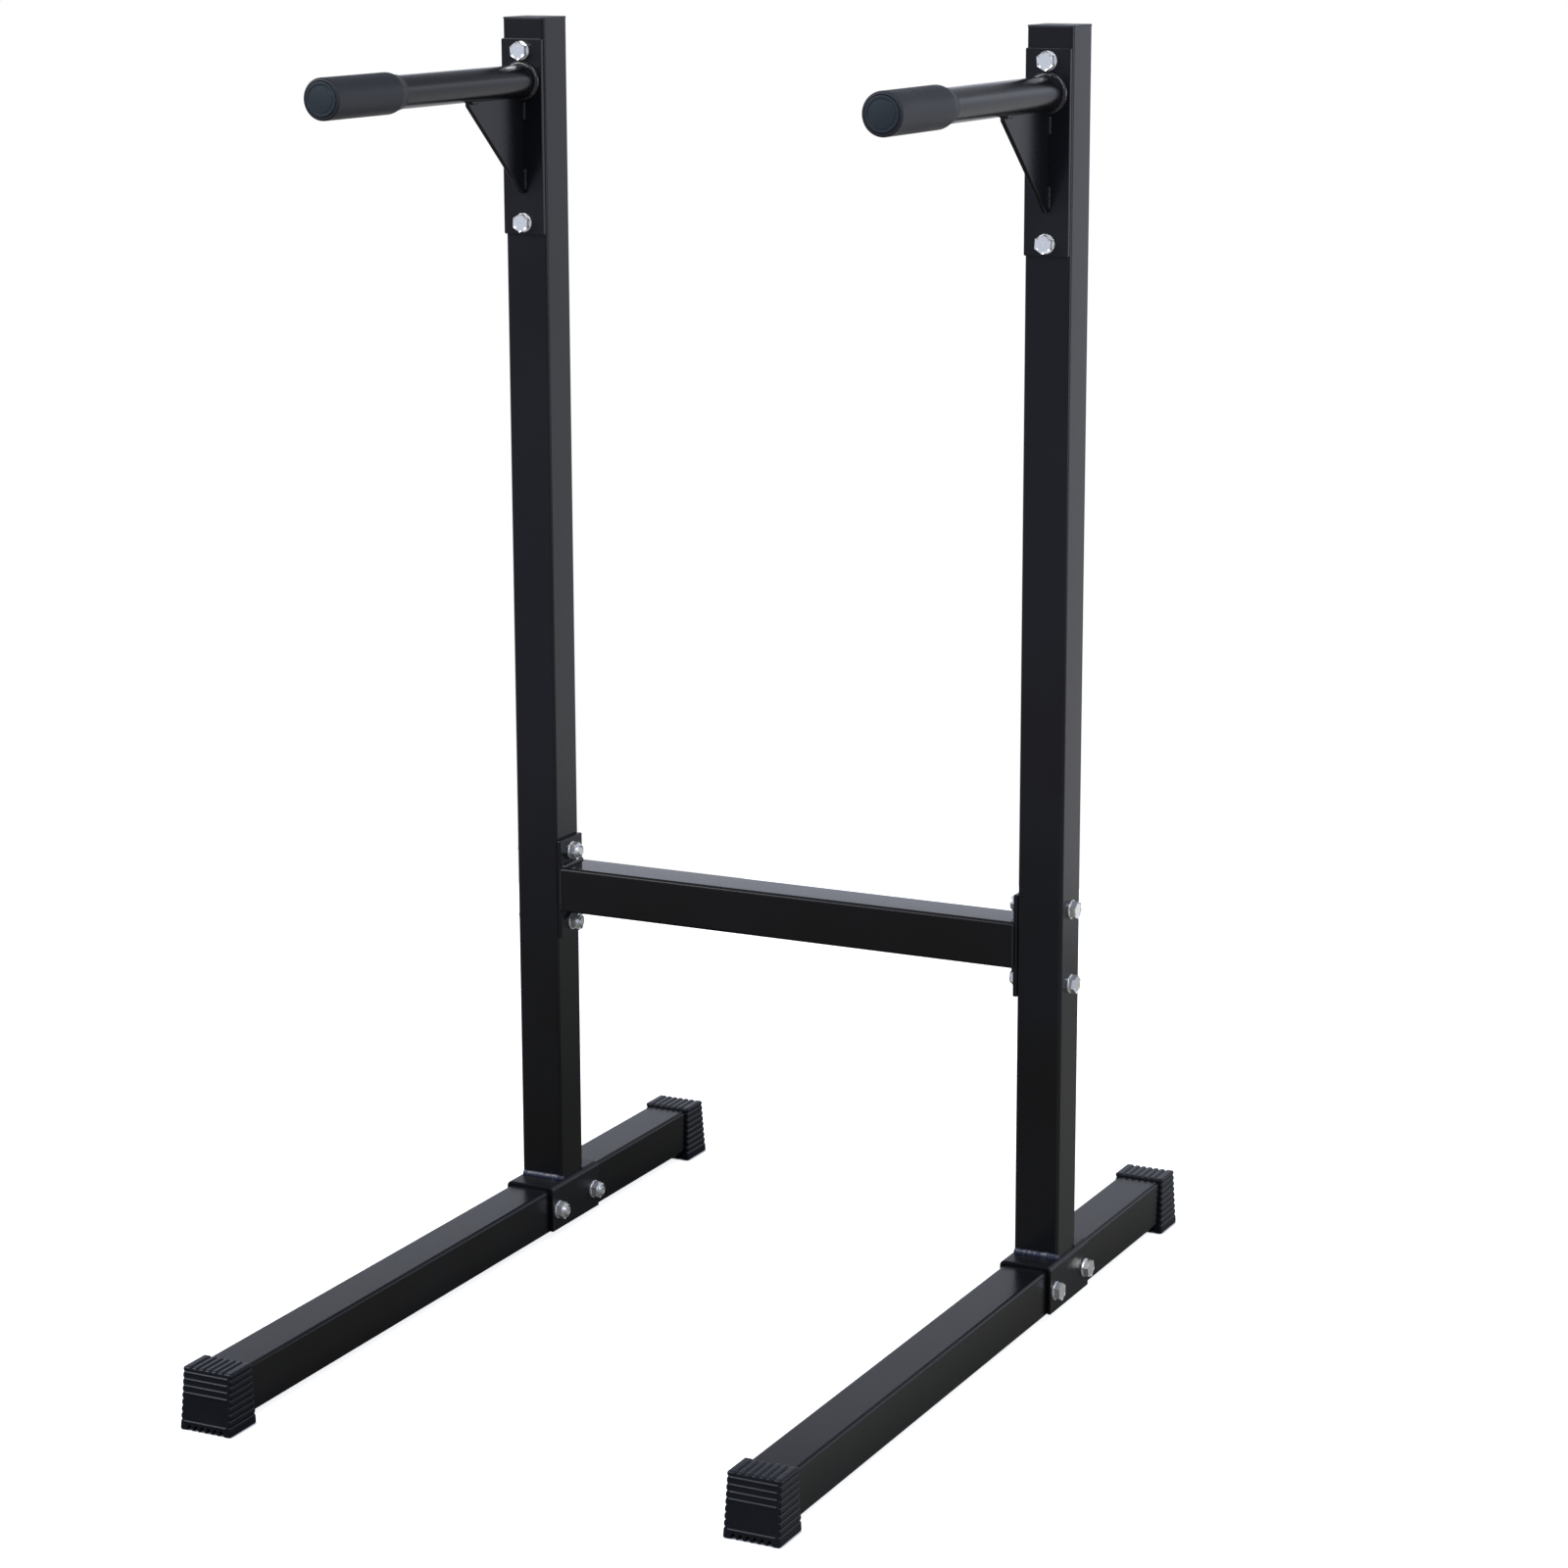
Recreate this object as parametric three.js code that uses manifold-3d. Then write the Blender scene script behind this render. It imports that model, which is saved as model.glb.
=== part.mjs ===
// Dip station: two uprights on long feet, tied by one crossbar, with a gripped handle on each upright.
// Millimetres. X runs from the left upright to the right one, Y runs to the back, Z is up.
// The handles point forward, to -Y. The origin is on the floor, in the middle of the footprint.

import * as THREE from 'three';
import { mergeVertices } from 'three/addons/utils/BufferGeometryUtils.js';
import Module from 'manifold-3d';

const wasm = await Module();
wasm.setup();

// Stance
const uprightSpacing = 600;
const uprightLength = 1278;
const footFrontReach = 680;
const footRearReach = 305;

// Square tube of the uprights, feet and crossbar
const tubeWidth = 50;
const tubeWall = 2;
const tubeCornerRadius = 4;

// Flat bar of the handle plates and the crossbar's end plates
const barWidth = 48;
const barThickness = 5;
const barCornerRadius = 1.5;

// Crossbar
const crossbarHeight = 400;
const crossbarPlateLength = 110;
const crossbarBoltSpacing = 80;

// Saddle, a bent channel that the upright is welded to
const saddleLength = 105;
const saddleThickness = 4;
const saddleBendRadius = 2;
const saddleFit = 0.3;
const saddleEdgeLift = 1.7;
const saddleBoltSpacing = 80;

// Handle bracket
const handlePlateLength = 205;
const handlePlateDrop = 20;
const handleBoltSpacing = 180;
const handleAxisDrop = 44;
const handleTubeRadius = 17;
const handleTubeWall = 2.5;
const handleTubeLength = 385;
const gussetDepth = 112;
const gussetHeight = 100;
const gussetThickness = 5;
const gussetBlunt = 4;
const weldGap = 0.3;

// Grip sleeve and the plug in its end
const gripRadius = 21;
const gripLength = 135;
const gripFit = 0.3;
const gripRimRadius = 2.6;
const gripTaperLength = 16;
const gripLipThickness = 0.8;
const gripOverhang = 2.6;
const gripTaperBreakShare = 0.67;
const gripPlugHeadRadius = 17.4;
const gripPlugHeadThickness = 3.4;
const gripPlugEdgeRadius = 1.2;
const gripPlugDome = 0.6;
const gripPlugDomeShares = [0.5, 0.75];
const gripPlugStemLength = 18;
const gripPlugStemWall = 1.8;
const gripPlugFit = 0.3;

// Plug in the top of each upright
const topPlugLidThickness = 2;
const topPlugLidLip = 0.4;
const topPlugEdge = 0.7;
const topPlugSkirtDepth = 16;
const topPlugSkirtWall = 1.6;
const topPlugSkirtInset = 1;
const topPlugFinThickness = 1.4;
const topPlugFinPitch = 5;
const topPlugFinCount = 2;
const topPlugFit = 0.3;

// Ribbed foot cap
const capSole = 10;
const capFit = 0.3;
const capWall = 3;
const capEndWall = 5;
const capGrip = 32;
const capSideFlare = 1.3;
const capEndFlare = 7;
const capMouthFlare = 3;
const capCorner = 2.2;
const capEndRounding = 1.3;
const capEndInset = 1;
const capTopRibs = 7;
const capSoleRibs = 7;
const capTopRib = 5.3;
const capSideRibPitch = 6.8;
const capFootBand = 10;
const capTopGroove = 1.9;
const capSideGroove = 1.8;
const capSoleGroove = 5.2;
const capLineCount = 4;
const capLineHeight = 0.9;
const capLineWidth = 1.6;
const capSoleLine = 9.2;
const capLineMargin = 3.2;
const capPanelGap = 1.6;
const capPanelDepth = 0.5;

// Hexagon bolts, flat washers and lock nuts
const boltRadius = 5;
const boltHoleFit = 0.5;
const boltHeadAcrossFlats = 17;
const boltHeadHeight = 6.4;
const boltEndChamfer = 0.8;
const boltProjection = 0.8;
const washerRadius = 10;
const washerThickness = 1.8;
const nutAcrossFlats = 17;
const nutHexHeight = 7;
const nutCollarHeight = 2.6;
const nutCollarRadius = 7.4;
const nutCollarEdge = 1;
const threadFit = 0.2;

// Chamfer of each hexagon: its circle as a share of the corner radius, its rise as a share of its run
const chamferCircleShare = 1.02;
const chamferRiseShare = 0.5;

// Facets and the overrun of every cut
const cornerFacets = 3;
const boreCornerFacets = 2;
const pipeFacets = 24;
const washerFacets = 14;
const boltFacets = 10;
const hexagonSides = 6;
const cutOverrun = 2;

// Notches of the cap's ribs: place as a share of the pitch, depth as a share of the groove
const topNotchShares = [[-0.22, 0], [-0.1, 1], [0.1, 1], [0.22, 0]];
const sideNotchShares = [[-0.22, 0], [0, 1], [0.22, 0]];
const soleNotchShares = [[-0.34, 0], [-0.22, 0.75], [0, 1], [0.22, 0.75], [0.34, 0]];

// Turn of each hexagon about its bolt, as shares of one flat
const headTurnShares = { handle: [0.06, 0.94], crossbar: [0.62, 0.3], saddle: [0.5, 0.78] };
const nutTurnShares = { handle: [0.4, 0.1], crossbar: [0.15, 0.7], saddle: [0.35, 0.55] };

// Heights and places that follow from the sizes above
const footBottom = capSole + capFit;
const footTop = footBottom + tubeWidth;
const footAxis = footBottom + tubeWidth / 2;
const uprightBottom = footTop + saddleThickness;
const uprightTop = uprightBottom + uprightLength;
const handlePlateTop = uprightTop - handlePlateDrop;
const handlePlateMiddle = handlePlateTop - handlePlateLength / 2;
const handleAxis = handlePlateTop - handleAxisDrop;
const boltHoleRadius = boltRadius + boltHoleFit;
const saddleOuterWidth = tubeWidth + 2 * (saddleFit + saddleThickness);
const nutHeight = nutHexHeight + nutCollarHeight;

// Finishes
const blackPaint = { color: 0x191b20, roughness: 0.38, metalness: 0.35 };
const blackRubber = { color: 0x17181c, roughness: 0.72, metalness: 0 };
const gripRubber = { color: 0x222429, roughness: 0.6, metalness: 0 };
const blackPlastic = { color: 0x15171d, roughness: 0.45, metalness: 0 };
const brightZinc = { color: 0xc9ccd0, roughness: 0.28, metalness: 1 };

function at(x, y, z) {
  return new THREE.Vector3(x, y, z);
}

// Turns a closed geometry into a solid that can be cut and joined.
function toSolid(geometry) {
  const bare = geometry.index ? geometry.toNonIndexed() : geometry.clone();
  bare.deleteAttribute('normal');
  bare.deleteAttribute('uv');
  const merged = mergeVertices(bare);
  return new wasm.Manifold(new wasm.Mesh({
    numProp: 3,
    vertProperties: new Float32Array(merged.attributes.position.array),
    triVerts: new Uint32Array(merged.index.array),
  }));
}

// Turns a solid back into a geometry.
function toGeometry(solid) {
  const mesh = solid.getMesh();
  const geometry = new THREE.BufferGeometry();
  geometry.setAttribute('position', new THREE.BufferAttribute(new Float32Array(mesh.vertProperties), 3));
  geometry.setIndex(new THREE.BufferAttribute(new Uint32Array(mesh.triVerts), 1));
  geometry.computeVertexNormals();
  return geometry;
}

function makeMesh(name, geometry, finish, position = at(0, 0, 0)) {
  const mesh = new THREE.Mesh(geometry, new THREE.MeshStandardMaterial(finish));
  mesh.name = name;
  mesh.position.copy(position);
  return mesh;
}

// Draws a rectangle with round corners, centred on the origin.
function roundedRectangle(path, width, height, radius) {
  const x = width / 2;
  const y = height / 2;
  path.moveTo(x, radius - y);
  path.lineTo(x, y - radius);
  path.absarc(x - radius, y - radius, radius, 0, Math.PI / 2, false);
  path.lineTo(radius - x, y);
  path.absarc(radius - x, y - radius, radius, Math.PI / 2, Math.PI, false);
  path.lineTo(-x, radius - y);
  path.absarc(radius - x, radius - y, radius, Math.PI, 1.5 * Math.PI, false);
  path.lineTo(x - radius, -y);
  path.absarc(x - radius, radius - y, radius, 1.5 * Math.PI, 2 * Math.PI, false);
  return path;
}

function extrude(shape, depth, curveSegments = cornerFacets) {
  return new THREE.ExtrudeGeometry(shape, { depth, bevelEnabled: false, curveSegments });
}

// Stands an extrusion up: its drawing plane becomes XZ, and it is pushed towards -Y.
function standAcross(geometry) {
  return geometry.rotateX(Math.PI / 2);
}

// Stands an extrusion up: its drawing plane becomes YZ, and it is pushed towards +X.
function standAlong(geometry) {
  return geometry.rotateX(Math.PI / 2).rotateZ(Math.PI / 2);
}

// A straight cylinder on the axis named, centred on a point, used as a drill.
function drill(axis, radius, length, centre) {
  const cylinder = new THREE.CylinderGeometry(radius, radius, length, boltFacets);
  if (axis === 'x') cylinder.rotateZ(Math.PI / 2);
  if (axis === 'z') cylinder.rotateX(Math.PI / 2);
  cylinder.translate(centre.x, centre.y, centre.z);
  return toSolid(cylinder);
}

function cutAll(solid, cutters) {
  return cutters.reduce((rest, cutter) => rest.subtract(cutter), solid);
}

function joinAll(solids) {
  return solids.reduce((whole, solid) => whole.add(solid));
}

// Two places at equal distances from the middle
function pair(spacing) {
  return [spacing / 2, -spacing / 2];
}

// Hollow square tube that rises from the drawing plane
function squareTube(length) {
  const section = roundedRectangle(new THREE.Shape(), tubeWidth, tubeWidth, tubeCornerRadius);
  const bore = tubeWidth - 2 * tubeWall;
  section.holes.push(roundedRectangle(new THREE.Path(), bore, bore, tubeCornerRadius - tubeWall));
  return extrude(section, length);
}

// Upright, drilled from the front for the handle plate and from the side for the crossbar
function uprightGeometry() {
  const through = tubeWidth + 2 * cutOverrun;
  const handleHoles = pair(handleBoltSpacing).map((offset) => {
    const z = handlePlateMiddle + offset - uprightBottom;
    return drill('y', boltHoleRadius, through, at(0, 0, z));
  });
  const crossbarHoles = pair(crossbarBoltSpacing).map((offset) => {
    const z = crossbarHeight + offset - uprightBottom;
    return drill('x', boltHoleRadius, through, at(0, 0, z));
  });
  return toGeometry(cutAll(toSolid(squareTube(uprightLength)), [...handleHoles, ...crossbarHoles]));
}

// Foot tube, drilled crossways under the saddle; its origin is under the upright
function footGeometry() {
  const tube = standAcross(squareTube(footFrontReach + footRearReach)).translate(0, footRearReach, 0);
  const through = tubeWidth + 2 * cutOverrun;
  const holes = pair(saddleBoltSpacing).map((y) => drill('x', boltHoleRadius, through, at(0, y, 0)));
  return toGeometry(cutAll(toSolid(tube), holes));
}

// Crossbar tube between its two end plates
function crossbarGeometry() {
  const length = uprightSpacing - tubeWidth - 2 * barThickness;
  return squareTube(length).rotateY(Math.PI / 2).translate(-length / 2, 0, 0);
}

// Flat bar with a bolt hole near each end
function flatBar(length, boltSpacing) {
  const shape = roundedRectangle(new THREE.Shape(), barWidth, length, barCornerRadius);
  const bar = toSolid(extrude(shape, barThickness, boreCornerFacets));
  const through = 2 * (barThickness + cutOverrun);
  const holes = pair(boltSpacing).map((y) => drill('z', boltHoleRadius, through, at(0, y, 0)));
  return toGeometry(cutAll(bar, holes));
}

// Bent channel that straddles the foot; its origin is on the middle of the tube's top face
function saddleGeometry() {
  const outer = saddleOuterWidth / 2;
  const inner = outer - saddleThickness;
  const bottom = saddleEdgeLift - tubeWidth;
  const bend = saddleBendRadius + saddleThickness;
  const shape = new THREE.Shape();
  shape.moveTo(outer, bottom);
  shape.lineTo(outer, saddleThickness - bend);
  shape.absarc(outer - bend, saddleThickness - bend, bend, 0, Math.PI / 2, false);
  shape.lineTo(bend - outer, saddleThickness);
  shape.absarc(bend - outer, saddleThickness - bend, bend, Math.PI / 2, Math.PI, false);
  shape.lineTo(-outer, bottom);
  shape.lineTo(-inner, bottom);
  shape.lineTo(-inner, -saddleBendRadius);
  shape.absarc(saddleBendRadius - inner, -saddleBendRadius, saddleBendRadius, Math.PI, Math.PI / 2, true);
  shape.lineTo(inner - saddleBendRadius, 0);
  shape.absarc(inner - saddleBendRadius, -saddleBendRadius, saddleBendRadius, Math.PI / 2, 0, true);
  shape.lineTo(inner, bottom);
  const channel = standAcross(extrude(shape, saddleLength)).translate(0, saddleLength / 2, 0);
  const through = saddleOuterWidth + 2 * cutOverrun;
  const holes = pair(saddleBoltSpacing).map((y) => {
    return drill('x', boltHoleRadius, through, at(0, y, -tubeWidth / 2));
  });
  return toGeometry(cutAll(toSolid(channel), holes));
}

// Round handle tube; its origin is on the plate's face and it runs to -Y
function handleTubeGeometry() {
  const bore = handleTubeRadius - handleTubeWall;
  const profile = [
    [bore, -handleTubeLength],
    [handleTubeRadius, -handleTubeLength],
    [handleTubeRadius, 0],
    [bore, 0],
    [bore, -handleTubeLength],
  ].map(([r, y]) => new THREE.Vector2(r, y));
  return new THREE.LatheGeometry(profile, pipeFacets);
}

// Triangular plate under the handle; its origin is where the handle's axis meets the plate's face
function gussetGeometry() {
  const top = -handleTubeRadius - weldGap;
  const shape = new THREE.Shape();
  shape.moveTo(0, top);
  shape.lineTo(-gussetDepth, top);
  shape.lineTo(-gussetDepth, top - gussetBlunt);
  shape.lineTo(-gussetBlunt, top - gussetHeight);
  shape.lineTo(0, top - gussetHeight);
  return standAlong(extrude(shape, gussetThickness)).translate(-gussetThickness / 2, 0, 0);
}

// Part of a circle as profile points
function arcPoints(centreR, centreY, radius, start, end, steps) {
  return Array.from({ length: steps + 1 }, (_, i) => {
    const angle = start + (end - start) * (i / steps);
    return [centreR + radius * Math.cos(angle), centreY + radius * Math.sin(angle)];
  });
}

// Grip sleeve; its origin is at its outer end and it runs to +Y
function gripSleeveGeometry() {
  const bore = handleTubeRadius + gripFit;
  const recess = gripPlugHeadRadius + gripPlugFit;
  const rimCentre = gripRadius - gripRimRadius;
  const lip = bore + gripLipThickness;
  const taperStart = gripLength - gripTaperLength;
  const profile = [
    [recess, 0],
    ...arcPoints(rimCentre, gripRimRadius, gripRimRadius, -Math.PI / 2, 0, cornerFacets),
    [gripRadius, taperStart],
    [(gripRadius + lip) / 2, taperStart + gripTaperLength * gripTaperBreakShare],
    [lip, gripLength],
    [bore, gripLength],
    [bore, gripOverhang],
    [recess, gripOverhang],
    [recess, 0],
  ].map(([r, y]) => new THREE.Vector2(r, y));
  return new THREE.LatheGeometry(profile, pipeFacets);
}

// Grip plug; its origin is on the tube's end face, the head is at -Y and the stem in the tube's bore
function gripPlugGeometry() {
  const stem = handleTubeRadius - handleTubeWall - gripPlugFit;
  const hollow = stem - gripPlugStemWall;
  const head = gripPlugHeadRadius;
  const edgeCentre = head - gripPlugEdgeRadius;
  const face = gripPlugEdgeRadius - gripPlugHeadThickness;
  const [domeRadiusShare, domeRiseShare] = gripPlugDomeShares;
  const profile = [
    [0, -gripPlugHeadThickness - gripPlugDome],
    [head * domeRadiusShare, -gripPlugHeadThickness - gripPlugDome * domeRiseShare],
    ...arcPoints(edgeCentre, face, gripPlugEdgeRadius, -Math.PI / 2, 0, boreCornerFacets),
    [head, 0],
    [stem, 0],
    [stem, gripPlugStemLength],
    [hollow, gripPlugStemLength],
    [hollow, 0],
    [0, 0],
  ].map(([r, y]) => new THREE.Vector2(r, y));
  return new THREE.LatheGeometry(profile, pipeFacets);
}

// Square plug; its origin is on the tube's end face, with the lid above and the finned skirt below
function topPlugGeometry() {
  const lidWidth = tubeWidth + 2 * topPlugLidLip;
  const bore = tubeWidth - 2 * tubeWall;
  const boreCorner = tubeCornerRadius - tubeWall;
  const skirtWidth = bore - 2 * topPlugSkirtInset;
  const hollowWidth = skirtWidth - 2 * topPlugSkirtWall;
  const finWidth = bore - 2 * topPlugFit;
  const lidShape = roundedRectangle(
    new THREE.Shape(),
    lidWidth - 2 * topPlugEdge,
    lidWidth - 2 * topPlugEdge,
    tubeCornerRadius - topPlugEdge,
  );
  const lid = new THREE.ExtrudeGeometry(lidShape, {
    depth: topPlugLidThickness - topPlugEdge,
    bevelThickness: topPlugEdge,
    bevelSize: topPlugEdge,
    bevelSegments: 1,
    curveSegments: cornerFacets,
  });
  const below = new THREE.BoxGeometry(2 * lidWidth, 2 * lidWidth, lidWidth).translate(0, 0, -lidWidth / 2);
  const block = (width, depth, top) => {
    const shape = roundedRectangle(new THREE.Shape(), width, width, boreCorner);
    return toSolid(extrude(shape, depth, boreCornerFacets).translate(0, 0, top - depth));
  };
  const fins = Array.from({ length: topPlugFinCount }, (_, i) => {
    return block(finWidth, topPlugFinThickness, -(i + 1) * topPlugFinPitch);
  });
  const lidSolid = toSolid(lid).subtract(toSolid(below));
  const skirtSolid = joinAll([block(skirtWidth, topPlugSkirtDepth, 0), ...fins]);
  return toGeometry(lidSolid.add(skirtSolid.subtract(block(hollowWidth, topPlugSkirtDepth, 0))));
}

// Distances of the valleys between equal ribs from the start of their run
function evenValleys(length, ribs) {
  return Array.from({ length: ribs - 1 }, (_, i) => ((i + 1) * length) / ribs);
}

// Heights of the valleys between the side ribs of a cap, from the top down to its plain foot
function sideValleys(height) {
  const top = height - capTopRib;
  const count = Math.floor((top - capFootBand) / capSideRibPitch) + 1;
  return Array.from({ length: count }, (_, i) => top - i * capSideRibPitch);
}

// Straight run of the cap's outline with a notch at each valley
function ribbedRun(from, to, valleys, pitch, groove, notchShares) {
  const along = to.clone().sub(from).normalize();
  const inward = new THREE.Vector2(-along.y, along.x);
  const points = [from];
  for (const valley of valleys) {
    for (const [placeShare, depthShare] of notchShares) {
      const distance = valley + placeShare * pitch;
      points.push(from.clone().addScaledVector(along, distance).addScaledVector(inward, groove * depthShare));
    }
  }
  points.push(to);
  return points;
}

// Outline of the cap seen from its end, anticlockwise, with the sole on y = 0
function capOutline(width, height) {
  const x = width / 2;
  const side = height - capCorner;
  const flat = width - 2 * capCorner;
  const across = (startX, endX, y, ribs, groove, shares) => {
    const [from, to] = [new THREE.Vector2(startX, y), new THREE.Vector2(endX, y)];
    return ribbedRun(from, to, evenValleys(flat, ribs), flat / ribs, groove, shares);
  };
  const upright = (sideX, startY, endY, valleys) => {
    const [from, to] = [new THREE.Vector2(sideX, startY), new THREE.Vector2(sideX, endY)];
    return ribbedRun(from, to, valleys, capSideRibPitch, capSideGroove, sideNotchShares);
  };
  const descending = sideValleys(height);
  const ascending = [...descending].reverse();
  return [
    ...across(capCorner - x, x - capCorner, 0, capSoleRibs, capSoleGroove, soleNotchShares),
    ...upright(x, capCorner, side, ascending.map((z) => z - capCorner)),
    ...across(x - capCorner, capCorner - x, height, capTopRibs, capTopGroove, topNotchShares),
    ...upright(-x, side, capCorner, descending.map((z) => side - z)),
  ];
}

// Skin through a row of closed rings of points, with flat ends drawn on the outline that made them
function loftGeometry(rings, outline) {
  const count = outline.length;
  const positions = rings.flat().flatMap((point) => point.toArray());
  const indices = [];
  for (let ring = 0; ring < rings.length - 1; ring += 1) {
    for (let i = 0; i < count; i += 1) {
      const a = ring * count + i;
      const b = ring * count + (i + 1) % count;
      indices.push(a, a + count, b, b, a + count, b + count);
    }
  }
  const last = (rings.length - 1) * count;
  for (const [a, b, c] of THREE.ShapeUtils.triangulateShape(outline, [])) {
    indices.push(a, b, c, last + a, last + c, last + b);
  }
  const geometry = new THREE.BufferGeometry();
  geometry.setAttribute('position', new THREE.Float32BufferAttribute(positions, 3));
  geometry.setIndex(indices);
  return geometry;
}

// Foot cap; its origin is on the floor under the tube's end face, the mouth at -Y and the end at +Y
function footCapGeometry() {
  const width = tubeWidth + 2 * (capFit + capWall);
  const height = capSole + tubeWidth + 2 * capFit + capWall;
  const end = capFit + capEndWall;
  const outline = capOutline(width, height);
  const stations = [
    { y: -capGrip, lean: -capMouthFlare, inset: 0 },
    { y: end - capEndRounding, lean: capEndFlare, inset: 0 },
    { y: end, lean: capEndFlare, inset: capEndInset },
  ];
  const rings = stations.map(({ y, lean, inset }) => outline.map((point) => {
    const drop = 1 - point.y / height;
    const spread = 1 + (capSideFlare * drop) / (width / 2) - inset / (width / 2);
    const z = height / 2 + (point.y - height / 2) * (1 - inset / (height / 2));
    return at(point.x * spread, y + lean * drop, z);
  }));
  const socketWidth = tubeWidth + 2 * capFit;
  const socketDepth = capGrip + capMouthFlare + capFit + cutOverrun;
  const socketShape = roundedRectangle(new THREE.Shape(), socketWidth, socketWidth, tubeCornerRadius);
  const socket = standAcross(extrude(socketShape, socketDepth));
  socket.translate(0, capFit, capSole + socketWidth / 2);
  const body = toSolid(loftGeometry(rings, outline)).subtract(toSolid(socket));

  // The sloping end face carries thin raised lines in line with the top valleys, one more above the
  // sole, and a sunk panel between them.
  const slope = Math.atan2(capEndFlare, height);
  const onEndFace = (depth, tall, z) => {
    const bar = new THREE.BoxGeometry(width - 2 * capLineMargin, 2 * depth, tall);
    bar.rotateX(slope).translate(0, end + capEndFlare * (1 - z / height), z);
    return toSolid(bar);
  };
  const lineHeights = sideValleys(height).slice(0, capLineCount);
  const lines = [...lineHeights, capSoleLine].map((z) => onEndFace(capLineHeight, capLineWidth, z));
  const panelTop = lineHeights.at(-1) - capPanelGap;
  const panelBottom = capSoleLine + capPanelGap;
  const panel = onEndFace(capPanelDepth, panelTop - panelBottom, (panelTop + panelBottom) / 2);
  return toGeometry(joinAll([body, ...lines]).subtract(panel));
}

// Revolves a profile of radius and height about Z.
function turnedSolid(profile, facets) {
  const points = profile.map(([r, y]) => new THREE.Vector2(r, y));
  return toSolid(new THREE.LatheGeometry(points, facets).rotateX(Math.PI / 2));
}

// Hexagonal prism with its corners turned off at the top
function hexagonSolid(acrossFlats, height, turnShare) {
  const flatTurn = 360 / hexagonSides;
  const corner = acrossFlats / 2 / Math.cos(Math.PI / hexagonSides);
  const prism = turnedSolid([[0, 0], [corner, 0], [corner, height], [0, height]], hexagonSides);
  const coneTop = corner * chamferCircleShare;
  const coneDrop = (acrossFlats - coneTop) * chamferRiseShare;
  const cone = turnedSolid([
    [0, 0],
    [acrossFlats, 0],
    [acrossFlats, height - coneDrop],
    [coneTop, height],
    [0, height],
  ], hexagonSides);
  return prism.intersect(cone.rotate([0, 0, flatTurn / 2])).rotate([0, 0, turnShare * flatTurn]);
}

// Flat washer without its hole, which the bolt or nut closes or cuts
function washerSolid() {
  const edge = [[washerRadius, 0], [washerRadius, washerThickness]];
  return turnedSolid([[0, 0], ...edge, [0, washerThickness]], washerFacets);
}

// Bolt with its washer; the origin is on the clamped face, the head at -Z and the shank at +Z
function boltGeometry(grip, turnShare) {
  const end = grip + washerThickness + nutHeight + boltProjection;
  const head = hexagonSolid(boltHeadAcrossFlats, washerThickness + boltHeadHeight, turnShare);
  const shank = turnedSolid([
    [0, -boltEndChamfer],
    [boltRadius, -boltEndChamfer],
    [boltRadius, end - boltEndChamfer],
    [boltRadius - boltEndChamfer, end],
    [0, end],
  ], boltFacets);
  return toGeometry(joinAll([head, washerSolid()]).rotate([180, 0, 0]).add(shank));
}

// Lock nut with its washer; the origin is on the clamped face and the nut is at +Z
function nutGeometry(turnShare) {
  const collarTop = washerThickness + nutHeight;
  const collarFoot = washerThickness + nutHexHeight;
  const hexagon = hexagonSolid(nutAcrossFlats, collarFoot, turnShare);
  const collar = turnedSolid([
    [0, collarFoot - nutCollarEdge],
    [nutCollarRadius, collarFoot - nutCollarEdge],
    [nutCollarRadius, collarTop - nutCollarEdge],
    [nutCollarRadius - nutCollarEdge, collarTop],
    [0, collarTop],
  ], washerFacets);
  const bore = drill('z', boltRadius + threadFit, 2 * (collarTop + cutOverrun), at(0, 0, 0));
  return toGeometry(joinAll([washerSolid(), hexagon, collar]).subtract(bore));
}

// Adds a bolt on one face and its nut on the far face, both on a line in the direction given.
function addFastener(group, names, seat, direction, grip, turns) {
  const upright = at(0, 0, 1);
  const bolt = makeMesh(names.bolt, boltGeometry(grip, turns.head), brightZinc, seat);
  bolt.quaternion.setFromUnitVectors(upright, direction);
  const farFace = seat.clone().addScaledVector(direction, grip);
  const nut = makeMesh(names.nut, nutGeometry(turns.nut), brightZinc, farFace);
  nut.quaternion.setFromUnitVectors(upright, direction);
  group.add(bolt, nut);
}

// Foot with its caps; the group's origin is on the floor under the upright
function makeFoot(side) {
  const foot = new THREE.Group();
  const cap = footCapGeometry();
  foot.add(makeMesh(`${side}_foot_tube`, footGeometry(), blackPaint, at(0, 0, footAxis)));
  const rearCap = makeMesh(`${side}_rear_foot_cap`, cap, blackRubber, at(0, footRearReach, 0));
  const frontCap = makeMesh(`${side}_front_foot_cap`, cap, blackRubber, at(0, -footFrontReach, 0));
  frontCap.rotation.z = Math.PI;
  foot.add(rearCap, frontCap);
  return foot;
}

// Upright welded to its saddle, with the plug in its top
function makeUpright(side) {
  const upright = new THREE.Group();
  upright.add(
    makeMesh(`${side}_saddle`, saddleGeometry(), blackPaint, at(0, 0, footTop)),
    makeMesh(`${side}_upright_tube`, uprightGeometry(), blackPaint, at(0, 0, uprightBottom)),
    makeMesh(`${side}_top_plug`, topPlugGeometry(), blackPlastic, at(0, 0, uprightTop)),
  );
  return upright;
}

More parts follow.
